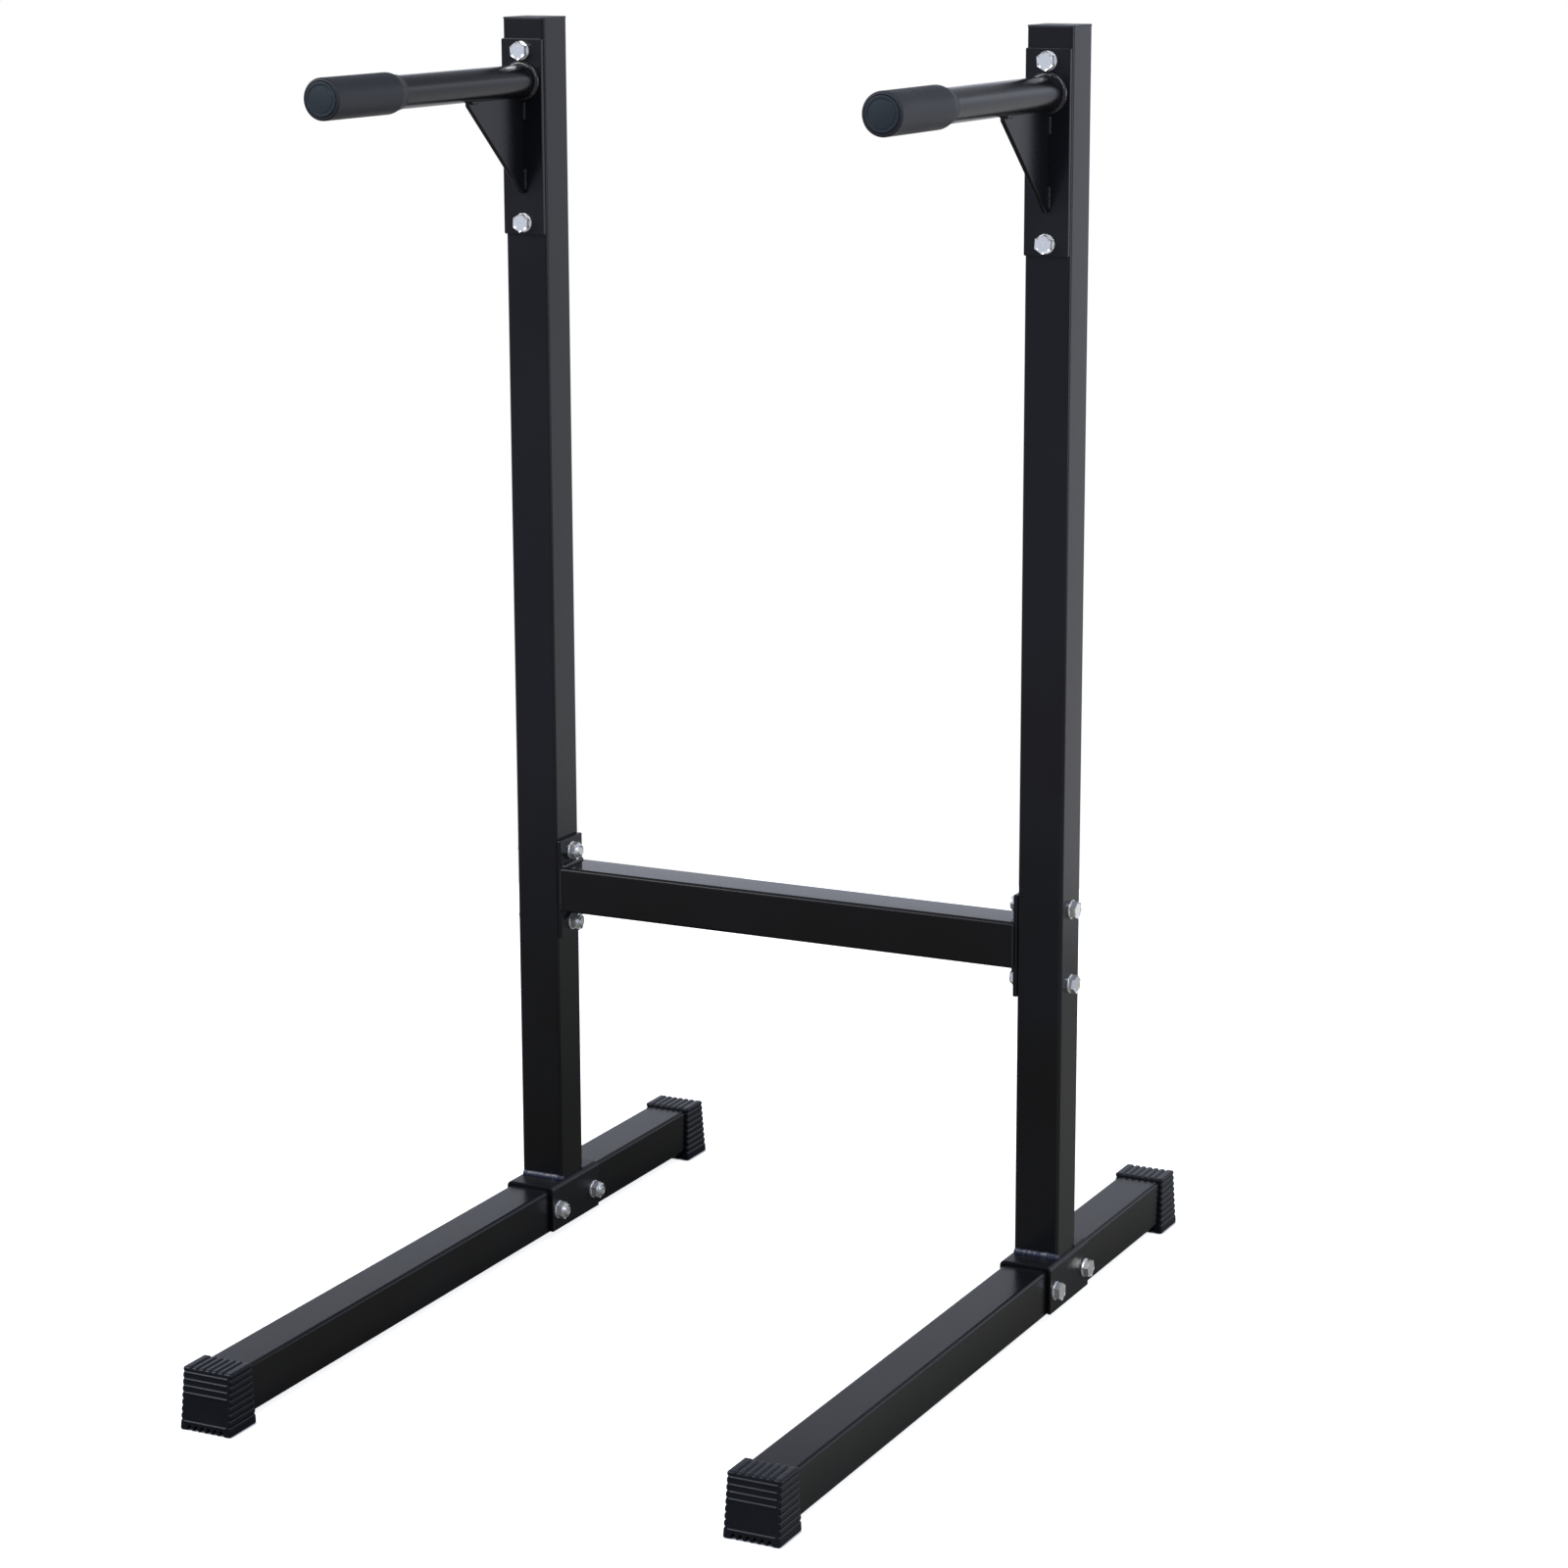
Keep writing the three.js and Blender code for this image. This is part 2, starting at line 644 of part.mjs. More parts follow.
// Handle bracket on the upright's front face: plate, tube, gusset, grip sleeve and plug
function makeHandle(side) {
  const handle = new THREE.Group();
  const plateFace = -tubeWidth / 2 - barThickness;
  const tubeEnd = plateFace - handleTubeLength;
  const plate = standAcross(flatBar(handlePlateLength, handleBoltSpacing));
  handle.add(
    makeMesh(`${side}_handle_plate`, plate, blackPaint, at(0, -tubeWidth / 2, handlePlateMiddle)),
    makeMesh(`${side}_handle_tube`, handleTubeGeometry(), blackPaint, at(0, plateFace, handleAxis)),
    makeMesh(`${side}_handle_gusset`, gussetGeometry(), blackPaint, at(0, plateFace, handleAxis)),
    makeMesh(`${side}_grip_plug`, gripPlugGeometry(), blackPlastic, at(0, tubeEnd, handleAxis)),
  );
  const sleeveEnd = at(0, tubeEnd - gripOverhang, handleAxis);
  handle.add(makeMesh(`${side}_grip_sleeve`, gripSleeveGeometry(), gripRubber, sleeveEnd));
  return handle;
}

// Crossbar tube with an end plate welded to each end
function makeCrossbar() {
  const crossbar = new THREE.Group();
  const plateOffset = uprightSpacing / 2 - tubeWidth / 2;
  const leftPlate = standAlong(flatBar(crossbarPlateLength, crossbarBoltSpacing));
  const rightPlate = leftPlate.clone();
  crossbar.add(
    makeMesh('crossbar_tube', crossbarGeometry(), blackPaint),
    makeMesh('left_crossbar_plate', leftPlate, blackPaint, at(-plateOffset, 0, 0)),
    makeMesh('right_crossbar_plate', rightPlate, blackPaint, at(plateOffset - barThickness, 0, 0)),
  );
  crossbar.position.z = crossbarHeight;
  return crossbar;
}

// Bolts and nuts of one side: handle plate, crossbar plate and saddle
function makeFasteners(side, outward) {
  const fasteners = new THREE.Group();
  const inward = at(-outward, 0, 0);
  const back = at(0, 1, 0);
  const plateFace = -tubeWidth / 2 - barThickness;
  const levels = ['upper', 'lower'];
  const places = ['rear', 'front'];
  const addPair = (kind, ends, spacing, direction, grip, seatAt) => {
    pair(spacing).forEach((offset, i) => {
      const names = { bolt: `${side}_${kind}_bolt_${ends[i]}`, nut: `${side}_${kind}_nut_${ends[i]}` };
      const turns = { head: headTurnShares[kind][i], nut: nutTurnShares[kind][i] };
      addFastener(fasteners, names, seatAt(offset), direction, grip, turns);
    });
  };
  addPair('handle', levels, handleBoltSpacing, back, barThickness + tubeWidth, (offset) => {
    return at(0, plateFace, handlePlateMiddle + offset);
  });
  addPair('crossbar', levels, crossbarBoltSpacing, inward, tubeWidth + barThickness, (offset) => {
    return at(outward * tubeWidth / 2, 0, crossbarHeight + offset);
  });
  addPair('saddle', places, saddleBoltSpacing, inward, saddleOuterWidth, (offset) => {
    return at(outward * saddleOuterWidth / 2, offset, footAxis);
  });
  return fasteners;
}

const dipStation = new THREE.Group();
for (const [side, outward] of [['left', -1], ['right', 1]]) {
  const frame = new THREE.Group();
  frame.add(makeFoot(side), makeUpright(side), makeHandle(side), makeFasteners(side, outward));
  frame.position.x = outward * uprightSpacing / 2;
  dipStation.add(frame);
}
dipStation.add(makeCrossbar());
dipStation.children.forEach((child) => {
  child.position.y = (footFrontReach - footRearReach) / 2;
});

export default dipStation;
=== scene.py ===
"""Dip station: the dressed pieces of the stand, their finishes and the studio.

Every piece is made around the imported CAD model, in metres, in the model's own frame.
"""

import math

import bmesh
import bpy
from mathutils import Matrix, Vector, noise


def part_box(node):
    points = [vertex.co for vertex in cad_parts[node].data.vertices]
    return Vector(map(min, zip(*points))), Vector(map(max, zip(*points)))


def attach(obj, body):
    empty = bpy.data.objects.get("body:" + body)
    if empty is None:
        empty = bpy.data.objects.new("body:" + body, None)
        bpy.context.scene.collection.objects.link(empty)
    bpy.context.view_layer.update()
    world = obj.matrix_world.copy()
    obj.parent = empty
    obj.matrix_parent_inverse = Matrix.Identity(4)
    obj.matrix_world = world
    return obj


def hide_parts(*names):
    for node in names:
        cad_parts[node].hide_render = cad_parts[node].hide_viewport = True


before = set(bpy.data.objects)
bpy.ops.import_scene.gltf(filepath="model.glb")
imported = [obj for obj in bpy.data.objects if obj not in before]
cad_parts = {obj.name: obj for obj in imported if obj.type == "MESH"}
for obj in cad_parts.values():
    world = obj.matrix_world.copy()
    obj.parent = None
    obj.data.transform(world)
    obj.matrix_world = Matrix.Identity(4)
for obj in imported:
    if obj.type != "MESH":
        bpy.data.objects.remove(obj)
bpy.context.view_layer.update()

bl_info = {
    "name": "Dip Station",
    "version": (1, 0, 0),
    "blender": (4, 5, 0),
    "location": "3D View > Sidebar > Dip Station",
    "description": "Tubes, plates, caps, grips, fasteners and welds of a dip station",
    "category": "Object",
}

MM = 0.001
SIDES = ("left", "right")
ENDS = ("front", "rear")
AXES = [Vector(row) for row in Matrix.Identity(3)]
FORWARD = (0, -1, 0)
ALONG = 0.9  # a unit normal's share of an axis from which it counts as pointing along it
SHARP = math.radians(40)
RIGHT_ANGLE = math.radians(60)
GUSSET_ANGLE = math.radians(25)
ROUND_STEPS = 72
MERGE = 1e-7


# ---- settings


def length_setting(label, text, millimetres):
    return bpy.props.FloatProperty(
        name=label, description=text, default=millimetres * MM, min=0.0, max=0.2, precision=5,
        subtype="DISTANCE", unit="LENGTH",
    )


def colour_setting(label, text, default):
    return bpy.props.FloatVectorProperty(
        name=label, description=text, default=default, size=3, min=0.0, max=1.0, subtype="COLOR"
    )


def share_setting(label, text, default, top=1.0):
    return bpy.props.FloatProperty(
        name=label, description=text, default=default, min=0.0, max=top, subtype="FACTOR"
    )


class DipStationSizes(bpy.types.PropertyGroup):
    tube_wall: length_setting("Tube Wall", "Wall of the square tubes", 2)
    tube_corner: length_setting("Tube Corner", "Outer corner radius of the square tubes", 4)
    plate_corner: length_setting("Plate Corner", "Corner radius of the bolted plates", 1.5)
    edge_break: length_setting("Edge Break", "Softened edge of cut plate", 0.8)
    saddle_wall: length_setting("Saddle Wall", "Thickness of the bent saddles", 4)
    saddle_bend: length_setting("Saddle Bend", "Outer bend radius of the saddles", 6)
    lid_thickness: length_setting("Lid Thickness", "Lid of the plugs in the uprights", 2)
    handle_wall: length_setting("Handle Wall", "Wall of the round handle tubes", 2.5)
    gusset_blunt: length_setting("Gusset Blunt", "Cut-off points of the gussets", 4)
    grip_rim: length_setting("Grip Rim", "Rounded outer rim of the grip sleeves", 2.6)
    grip_taper: length_setting("Grip Taper", "Tapered inner end of the grip sleeves", 16)
    cap_corner: length_setting("Cap Corner", "Rounded edges of the foot caps", 2.2)
    cap_top_groove: length_setting("Cap Top Groove", "Grooves on the caps' tops", 1.9)
    cap_side_groove: length_setting("Cap Side Groove", "Grooves on the caps' sides", 1.8)
    cap_sole_groove: length_setting("Cap Sole Groove", "Grooves under the caps", 5.2)
    cap_line: length_setting("Cap Line", "Height of the raised lines on the caps' ends", 1.1)
    cap_panel: length_setting("Cap Panel", "Depth of the sunk panel on the caps' ends", 0.5)
    hex_across: length_setting("Across Flats", "Width across flats of heads and nuts", 17)
    bolt_diameter: length_setting("Bolt Diameter", "Diameter of the bolts' shanks", 10)
    washer_radius: length_setting("Washer Radius", "Outer radius of the flat washers", 10)
    washer_thickness: length_setting("Washer Thickness", "Thickness of the washers", 1.8)
    weld_leg: length_setting("Weld Leg", "Width of the fillet welds", 4.2)


class DipStationColours(bpy.types.PropertyGroup):
    paint: colour_setting("Paint", "Satin black paint of the frame", (0.0055, 0.0058, 0.0078))
    paint_shade: colour_setting("Paint Shade", "Darker patches of it", (0.0042, 0.0040, 0.0046))
    paint_roughness: share_setting("Paint Roughness", "Roughness of the satin paint", 0.24)
    # Crossbar and its shade: a lighter copy of the frame's black paint, with painted light in its
    # colour for how light falls on the bar.
    crossbar: colour_setting("Crossbar", "Glossier crossbar paint", (0.0112, 0.0104, 0.0112))
    crossbar_shade: colour_setting("Crossbar Shade", "Its patches", (0.0098, 0.0088, 0.0090))
    # Foot weld and its shade: a navy tone that is painted reflection, standing in for the bluish
    # light the black-painted beads reflect.
    foot_weld_painted_reflection: colour_setting("Foot Weld", "Beads at the uprights' feet", (0.008, 0.010, 0.036))
    foot_weld_painted_reflection_shade: colour_setting("Foot Weld Shade", "Their patches", (0.004, 0.005, 0.022))
    rubber: colour_setting("Cap Rubber", "Rubber of the foot caps", (0.0036, 0.0047, 0.0092))
    grip: colour_setting("Grip Rubber", "Soft rubber of the grips", (0.010, 0.0112, 0.0155))
    plug: colour_setting("Plug Plastic", "Plugs in the uprights", (0.008, 0.009, 0.014))
    grip_plug: colour_setting("Grip Plug", "Plugs in the handles", (0.0062, 0.0132, 0.0190))
    nylon: colour_setting("Nylon", "Locking rings of the nuts", (0.030, 0.036, 0.048))
    zinc: colour_setting("Zinc", "Bright plating of the bolts and nuts", (1.0, 0.98, 0.94))
    floor: colour_setting("Floor", "Floor beside the right foot", (0.455, 0.435, 0.36))
    # Floor shade: the floor's grey is darker towards the left, painted shade that the stand's
    # reflections show.
    floor_shade: colour_setting("Floor Shade", "Floor beside the left foot", (0.21, 0.20, 0.165))


class DipStationStudio(bpy.types.PropertyGroup):
    focal_length: bpy.props.FloatProperty(
        name="Focal Length", description="Focal length of the camera on a 36 mm sensor",
        default=91.7686, min=10.0, max=300.0, subtype="DISTANCE_CAMERA",
    )
    camera_place: bpy.props.FloatVectorProperty(
        name="Camera Place", description="Where the camera stands",
        default=(1.847098, -3.548017, 1.491202), size=3, subtype="TRANSLATION", unit="LENGTH",
    )
    camera_turn: bpy.props.FloatVectorProperty(
        name="Camera Turn", description="How the camera is turned",
        default=(1.346738, 0.002467, 0.460334), size=3, subtype="EULER",
    )
    rear_level: share_setting("Rear Level", "Brightness of the wall behind the stand", 1.0, 4.0)
    front_level: share_setting("Front Level", "Brightness of the room in front of it", 0.5, 4.0)
    key_level: share_setting("Key Lamp", "Soft lamp above the front left", 7.0, 20.0)
    side_level: share_setting("Side Lamp", "Soft lamp at the right", 2.6, 20.0)
    edge_level: share_setting("Edge Lamp", "Strip lamp above the front right", 9.0, 40.0)


# ---- shader nodes


def with_alpha(colour):
    return (*colour, 1.0)


def shader_tree(owner, kind):
    """Node tree of a new material or world, and its shader."""
    owner.use_nodes = True
    return owner.node_tree, next(n for n in owner.node_tree.nodes if n.type == kind)


def add_node(tree, kind, inputs, **settings):
    """Outputs of a new node, whose inputs are values or other nodes' outputs."""
    node = tree.nodes.new(f"ShaderNode{kind}")
    for name, setting in settings.items():
        setattr(node, name, setting)
    for label, given in inputs.items():
        if isinstance(given, bpy.types.NodeSocket):
            tree.links.new(given, node.inputs[label])
        else:
            node.inputs[label].default_value = given
    return node.outputs


def add_noise(tree, vector, scale, detail=2.0, roughness=0.5):
    inputs = {"Vector": vector, "Scale": scale, "Detail": detail, "Roughness": roughness}
    return add_node(tree, "TexNoise", inputs)["Fac"]


def add_range(tree, value, low, high, to_low, to_high, smooth=False):
    """A Map Range node; its limits are numbers or sockets."""
    labels = ("Value", "From Min", "From Max", "To Min", "To Max")
    inputs = dict(zip(labels, (value, low, high, to_low, to_high)))
    kind = "SMOOTHSTEP" if smooth else "LINEAR"
    return add_node(tree, "MapRange", inputs, interpolation_type=kind)["Result"]


def add_step(tree, value, low, high):
    """A smooth step from 0 to 1."""
    return add_range(tree, value, low, high, 0.0, 1.0, True)


def add_math(tree, operation, first, second):
    return add_node(tree, "Math", {0: first, 1: second}, operation=operation)[0]


def add_blend(tree, factor, first, second):
    return add_node(tree, "Mix", {0: factor, 6: first, 7: second}, data_type="RGBA")[2]


def start_group(name, defaults):
    """A node group for a finish: a place, its colours and its numbers go in."""
    group = bpy.data.node_groups.new(name, "ShaderNodeTree")
    new_socket = group.interface.new_socket
    new_socket("Vector", in_out="INPUT", socket_type="NodeSocketVector")
    for label, value in defaults.items():
        kind = "NodeSocketFloat" if isinstance(value, float) else "NodeSocketColor"
        new_socket(label, in_out="INPUT", socket_type=kind).default_value = value
    return group, group.nodes.new("NodeGroupInput").outputs


def finish_group(group, colour, roughness, height):
    """Gives a finish's group its three outputs."""
    outputs = (("Color", colour), ("Roughness", roughness), ("Height", height))
    for label, socket in outputs:
        group.interface.new_socket(label, in_out="OUTPUT", socket_type=socket.bl_idname)
    made = group.nodes.new("NodeGroupOutput")
    for label, socket in outputs:
        group.links.new(socket, made.inputs[label])
    return group


def coating_group():
    """Sprayed and baked paint: orange peel, faint clouds of tone, and nibs of dust."""
    colours = {"Colour": (0.01, 0.01, 0.01, 1), "Shade": (0.005, 0.005, 0.005, 1)}
    inputs = {**colours, "Roughness": 0.25, "Peel Scale": 420.0}
    group, given = start_group("Baked Coating", inputs)
    vector = given["Vector"]
    clouds = add_noise(group, vector, 7.0, 3.0, 0.55)
    fine = add_noise(group, vector, 90.0)
    peel = add_noise(group, vector, given["Peel Scale"], 2.0, 0.45)
    nibs = add_range(group, add_noise(group, vector, 1500.0, 0.0), 0.74, 0.82, 0.0, 1.0)
    tone = add_step(group, clouds, 0.35, 0.65)
    colour = add_blend(group, tone, given["Shade"], given["Colour"])
    broad = add_math(group, "MULTIPLY", clouds, 0.06)
    tight = add_math(group, "MULTIPLY", fine, 0.05)
    spread = add_math(group, "SUBTRACT", add_math(group, "ADD", broad, tight), 0.055)
    rough = add_math(group, "ADD", given["Roughness"], spread)
    height = add_math(group, "ADD", peel, add_math(group, "MULTIPLY", nibs, 0.6))
    return finish_group(group, colour, rough, height)


def moulding_group():
    """Moulded rubber and plastic: sparked skin, soft clouds of bloom, and pale pores."""
    colours = {"Colour": (0.01, 0.01, 0.01, 1), "Bloom": (0.03, 0.03, 0.035, 1)}
    inputs = {**colours, "Roughness": 0.6, "Skin Scale": 1100.0}
    group, given = start_group("Moulded Skin", inputs)
    vector = given["Vector"]
    skin = add_noise(group, vector, given["Skin Scale"], 3.0, 0.6)
    clouds = add_noise(group, vector, 26.0, 3.0, 0.6)
    bloom = add_range(group, clouds, 0.42, 0.75, 0.0, 0.45, True)
    specks = add_range(group, skin, 0.58, 0.72, 0.0, 0.35)
    pale = add_math(group, "MAXIMUM", bloom, specks)
    colour = add_blend(group, pale, given["Colour"], given["Bloom"])
    spread = add_range(group, clouds, 0.3, 0.7, -0.05, 0.05)
    rough = add_math(group, "ADD", given["Roughness"], spread)
    return finish_group(group, colour, rough, skin)


def plating_group():
    """Bright zinc plating over rolled and forged steel: soft mottling and fine scratches."""
    colours = {"Colour": (0.8, 0.8, 0.82, 1), "Dull": (0.5, 0.52, 0.56, 1)}
    group, given = start_group("Zinc Plating", {**colours, "Roughness": 0.3})
    mottle = add_noise(group, given["Vector"], 520.0, 3.0, 0.6)
    grain = add_noise(group, given["Vector"], 2400.0, 2.0, 0.6)
    tone = add_step(group, mottle, 0.35, 0.65)
    colour = add_blend(group, tone, given["Dull"], given["Colour"])
    spread = add_range(group, mottle, 0.3, 0.7, 0.1, -0.08)
    rough = add_math(group, "ADD", given["Roughness"], spread)
    height = add_math(group, "ADD", mottle, add_math(group, "MULTIPLY", grain, 0.4))
    return finish_group(group, colour, rough, height)


# ---- finishes

# Finish, colour setting, roughness added to the paint's, then of the orange peel its scale,
# relief and depth in mm, and the specular level.
PAINTS = (
    ("Satin Paint", "paint", 0.0, 420.0, 0.12, 0.15, 0.3),
    ("Foot Paint", "paint", 0.0, 420.0, 0.12, 0.15, 0.25),
    # The crossbar's row is a lighter copy of the frame paint, with painted light in its colour.
    ("Crossbar Paint Lit Copy", "crossbar", -0.1, 420.0, 0.08, 0.15, 0.15),
    ("Plate Paint", "paint", 0.02, 520.0, 0.14, 0.15, 0.3),
    ("Saddle Paint", "paint", 0.12, 520.0, 0.14, 0.15, 0.3),
    ("Weld Paint", "paint", -0.03, 520.0, 0.2, 0.2, 0.6),
    # The foot welds' navy colours are painted reflection.
    ("Foot Weld Paint With Painted Reflection", "foot_weld_painted_reflection", 0.06, 900.0, 0.35, 0.3, 0.6),
)
# Finish, colour setting, bloom, roughness, then of the skin its scale, relief and depth in mm,
# and the specular level.
MOULDINGS = (
    ("Cap Rubber", "rubber", (0.008, 0.010, 0.016), 0.3, 1100.0, 0.25, 0.2, 0.26),
    ("Grip Rubber", "grip", (0.024, 0.026, 0.033), 0.52, 1500.0, 0.3, 0.2, 0.38),
    ("Plug Plastic", "plug", (0.014, 0.016, 0.022), 0.42, 1800.0, 0.2, 0.15, 0.45),
    ("Grip Plug Plastic", "grip_plug", (0.012, 0.019, 0.027), 0.45, 1600.0, 0.2, 0.15, 0.38),
    ("Nylon Ring", "nylon", (0.045, 0.05, 0.06), 0.4, 1800.0, 0.1, 0.1, 0.5),
)
DULL_ZINC = (0.86, 0.85, 0.82)


def finish_material(name, group, values, relief, depth, specular=0.5, metallic=0.0):
    """A material whose Principled shader takes colour, roughness and relief from one group."""
    tree, shader = shader_tree(bpy.data.materials.new(name), "BSDF_PRINCIPLED")
    where = add_node(tree, "TexCoord", {})["Object"]
    skin = add_node(tree, "Group", {"Vector": where, **values}, node_tree=group)
    relief = {"Strength": relief, "Distance": depth * MM, "Height": skin["Height"]}
    tree.links.new(skin["Color"], shader.inputs["Base Color"])
    tree.links.new(skin["Roughness"], shader.inputs["Roughness"])
    tree.links.new(add_node(tree, "Bump", relief)["Normal"], shader.inputs["Normal"])
    shader.inputs["Specular IOR Level"].default_value = specular
    shader.inputs["Metallic"].default_value = metallic


def make_finishes(colours):
    coating, moulding, plating = coating_group(), moulding_group(), plating_group()
    for name, setting, rougher, scale, relief, depth, specular in PAINTS:
        values = {
            "Colour": with_alpha(getattr(colours, setting)),
            "Shade": with_alpha(getattr(colours, f"{setting}_shade")),
            "Roughness": colours.paint_roughness + rougher,
            "Peel Scale": scale,
        }
        finish_material(name, coating, values, relief, depth, specular)
    for name, setting, bloom, rough, scale, relief, depth, specular in MOULDINGS:
        values = {
            "Colour": with_alpha(getattr(colours, setting)),
            "Bloom": with_alpha(bloom),
            "Roughness": rough,
            "Skin Scale": scale,
        }
        finish_material(name, moulding, values, relief, depth, specular)
    zinc = {"Colour": with_alpha(colours.zinc), "Dull": with_alpha(DULL_ZINC), "Roughness": 0.13}
    finish_material("Bright Zinc", plating, zinc, 0.2, 0.08, metallic=0.7)


# ---- making pieces


def size_of(node, axis):
    """Length of a CAD node along one axis."""
    low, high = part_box(node)
    return (high - low)[axis]


def middle_at(node, y):
    """Point in the middle of a CAD node's width and height, at one place front to back."""
    low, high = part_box(node)
    return Vector(((low.x + high.x) / 2, y, (low.z + high.z) / 2))


def add_mesh(name, bm, material):
    """A new object at the origin from a bmesh and a material."""
    mesh = bpy.data.meshes.new(name)
    bm.to_mesh(mesh)
    bm.free()
    mesh.materials.append(material)
    made = bpy.data.objects.new(name, mesh)
    bpy.context.scene.collection.objects.link(made)
    return made


def add_piece(name, bm, finish, nodes=(), weighted=True):
    """Turns a finished bmesh into a piece that rides on the stand and stands for CAD nodes."""
    turn_outwards(bm)
    piece = add_mesh(name, bm, bpy.data.materials[finish])
    piece.data.shade_smooth()
    piece.data.set_sharp_from_angle(angle=SHARP)
    if weighted:
        piece.modifiers.new("Flat Faces", "WEIGHTED_NORMAL").keep_sharp = True
    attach(piece, "root")
    if nodes:
        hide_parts(*nodes)


def add_painted(node, bm, finish):
    add_piece(f"{node}_painted", bm, finish, (node,))


def add_moulded(node, bm, finish):
    add_piece(f"{node}_moulded", bm, finish, (node,))


def turn_outwards(bm):
    bmesh.ops.recalc_face_normals(bm, faces=bm.faces[:])


def place(bm, matrix):
    bmesh.ops.transform(bm, matrix=matrix, verts=bm.verts[:])


def facing(direction, centre, turn=0.0):
    """Matrix that stands local +Z along a direction and puts the origin at a centre."""
    stand = Vector((0, 0, 1)).rotation_difference(Vector(direction)).to_matrix().to_4x4()
    return Matrix.Translation(centre) @ stand @ Matrix.Rotation(turn, 4, "Z")


def bevel(bm, parts, offset, segments, affect="EDGES"):
    bmesh.ops.bevel(
        bm, geom=list(parts), offset=offset, segments=segments, profile=0.5, affect=affect,
        material=-1,
    )


def break_edges(bm, offset, angle=RIGHT_ANGLE):
    """Softens every edge where two faces meet at more than an angle."""
    sharp = [e for e in bm.edges if len(e.link_faces) == 2 and e.calc_face_angle() > angle]
    bevel(bm, sharp, offset, 2)


def inset(bm, faces, thickness, depth=0.0):
    bmesh.ops.inset_region(
        bm, faces=faces, thickness=thickness, depth=depth, use_even_offset=True
    )


def raise_faces(bm, faces, along):
    """Extrudes faces along a vector and returns the moved faces."""
    made = bmesh.ops.extrude_face_region(bm, geom=list(faces))["geom"]
    verts = [g for g in made if isinstance(g, bmesh.types.BMVert)]
    bmesh.ops.translate(bm, verts=verts, vec=along)
    return [g for g in made if isinstance(g, bmesh.types.BMFace)]


def block(low, high):
    """A plain block between two corners."""
    bm = bmesh.new()
    bmesh.ops.create_cube(bm, size=1.0)
    bmesh.ops.scale(bm, verts=bm.verts[:], vec=high - low)
    bmesh.ops.translate(bm, verts=bm.verts[:], vec=(low + high) / 2)
    return bm


def rounded_square(width, corner):
    """One square face with round corners, on the ground plane, centred."""
    bm = bmesh.new()
    bmesh.ops.create_grid(bm, x_segments=1, y_segments=1, size=width / 2)
    bevel(bm, bm.verts, corner, 6, "VERTICES")
    return bm


def spin_round(bm, steps):
    """Spins an outline once round the Z axis, and closes its seam and poles."""
    bmesh.ops.spin(
        bm, geom=bm.verts[:] + bm.edges[:], cent=(0, 0, 0), axis=(0, 0, 1), angle=2 * math.pi,
        steps=steps, use_merge=True,
    )
    bmesh.ops.remove_doubles(bm, verts=bm.verts[:], dist=MERGE)


def turned(profile, steps=ROUND_STEPS):
    """A profile of (radius, height) points turned once round the Z axis."""
    bm = bmesh.new()
    verts = [bm.verts.new((r, 0, z)) for r, z in profile]
    for pair in zip(verts, verts[1:]):
        bm.edges.new(pair)
    spin_round(bm, steps)
    return bm


def arc(centre, radius, start, end, steps):
    """Points of part of a circle for a turned profile; the angles are in degrees."""
    turns = [math.radians(start + (end - start) * i / steps) for i in range(steps + 1)]
    return [(centre[0] + radius * math.cos(t), centre[1] + radius * math.sin(t)) for t in turns]


def join_into(bm, other):
    """Adds another bmesh's faces to bm."""
    mesh = bpy.data.meshes.new("Joined")
    other.to_mesh(mesh)
    other.free()
    bm.from_mesh(mesh)
    bpy.data.meshes.remove(mesh)


# ---- tubes and plates


def square_tube(node, axis, sizes):
    """Hollow square tube with round corners that fills a CAD node's box."""
    low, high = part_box(node)
    span = high - low
    bm = rounded_square(span[(axis + 1) % 3], sizes.tube_corner)
    raise_faces(bm, bm.faces[:], (0, 0, span[axis]))
    turn_outwards(bm)
    ends = [f for f in bm.faces if abs(f.normal.z) > ALONG]
    bmesh.ops.delete(bm, geom=ends, context="FACES_ONLY")
    bmesh.ops.solidify(bm, geom=bm.faces[:], thickness=sizes.tube_wall)
    bmesh.ops.translate(bm, verts=bm.verts[:], vec=(0, 0, -span[axis] / 2))
    place(bm, facing(AXES[axis], (low + high) / 2))
    return bm


def flat_plate(node, thin_axis, sizes):
    """Cut flat bar with small corner radii and broken edges that fills a CAD node's box."""
    bm = block(*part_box(node))

    def is_corner(edge):
        start, end = (v.co for v in edge.verts)
        return abs((start - end).normalized()[thin_axis]) > ALONG

    bevel(bm, filter(is_corner, bm.edges), sizes.plate_corner, 4)
    break_edges(bm, sizes.edge_break)
    return bm


class DIPSTATION_OT_square_tubes(bpy.types.Operator):
    """Make the uprights, the feet and the crossbar"""

    bl_idname = "dip_station.square_tubes"
    bl_label = "Square Tubes"

    def execute(self, context):
        sizes = context.scene.dip_station_sizes
        for side in SIDES:
            upright, foot = f"{side}_upright_tube", f"{side}_foot_tube"
            add_painted(upright, square_tube(upright, 2, sizes), "Satin Paint")
            add_painted(foot, square_tube(foot, 1, sizes), "Foot Paint")
        add_painted("crossbar_tube", square_tube("crossbar_tube", 0, sizes), "Crossbar Paint Lit Copy")
        return {"FINISHED"}


class DIPSTATION_OT_plates(bpy.types.Operator):
    """Make the handle plates and the crossbar's end plates"""

    bl_idname = "dip_station.plates"
    bl_label = "Bolted Plates"

    def execute(self, context):
        sizes = context.scene.dip_station_sizes
        for side in SIDES:
            for node, axis in ((f"{side}_handle_plate", 1), (f"{side}_crossbar_plate", 0)):
                add_painted(node, flat_plate(node, axis, sizes), "Plate Paint")
        return {"FINISHED"}


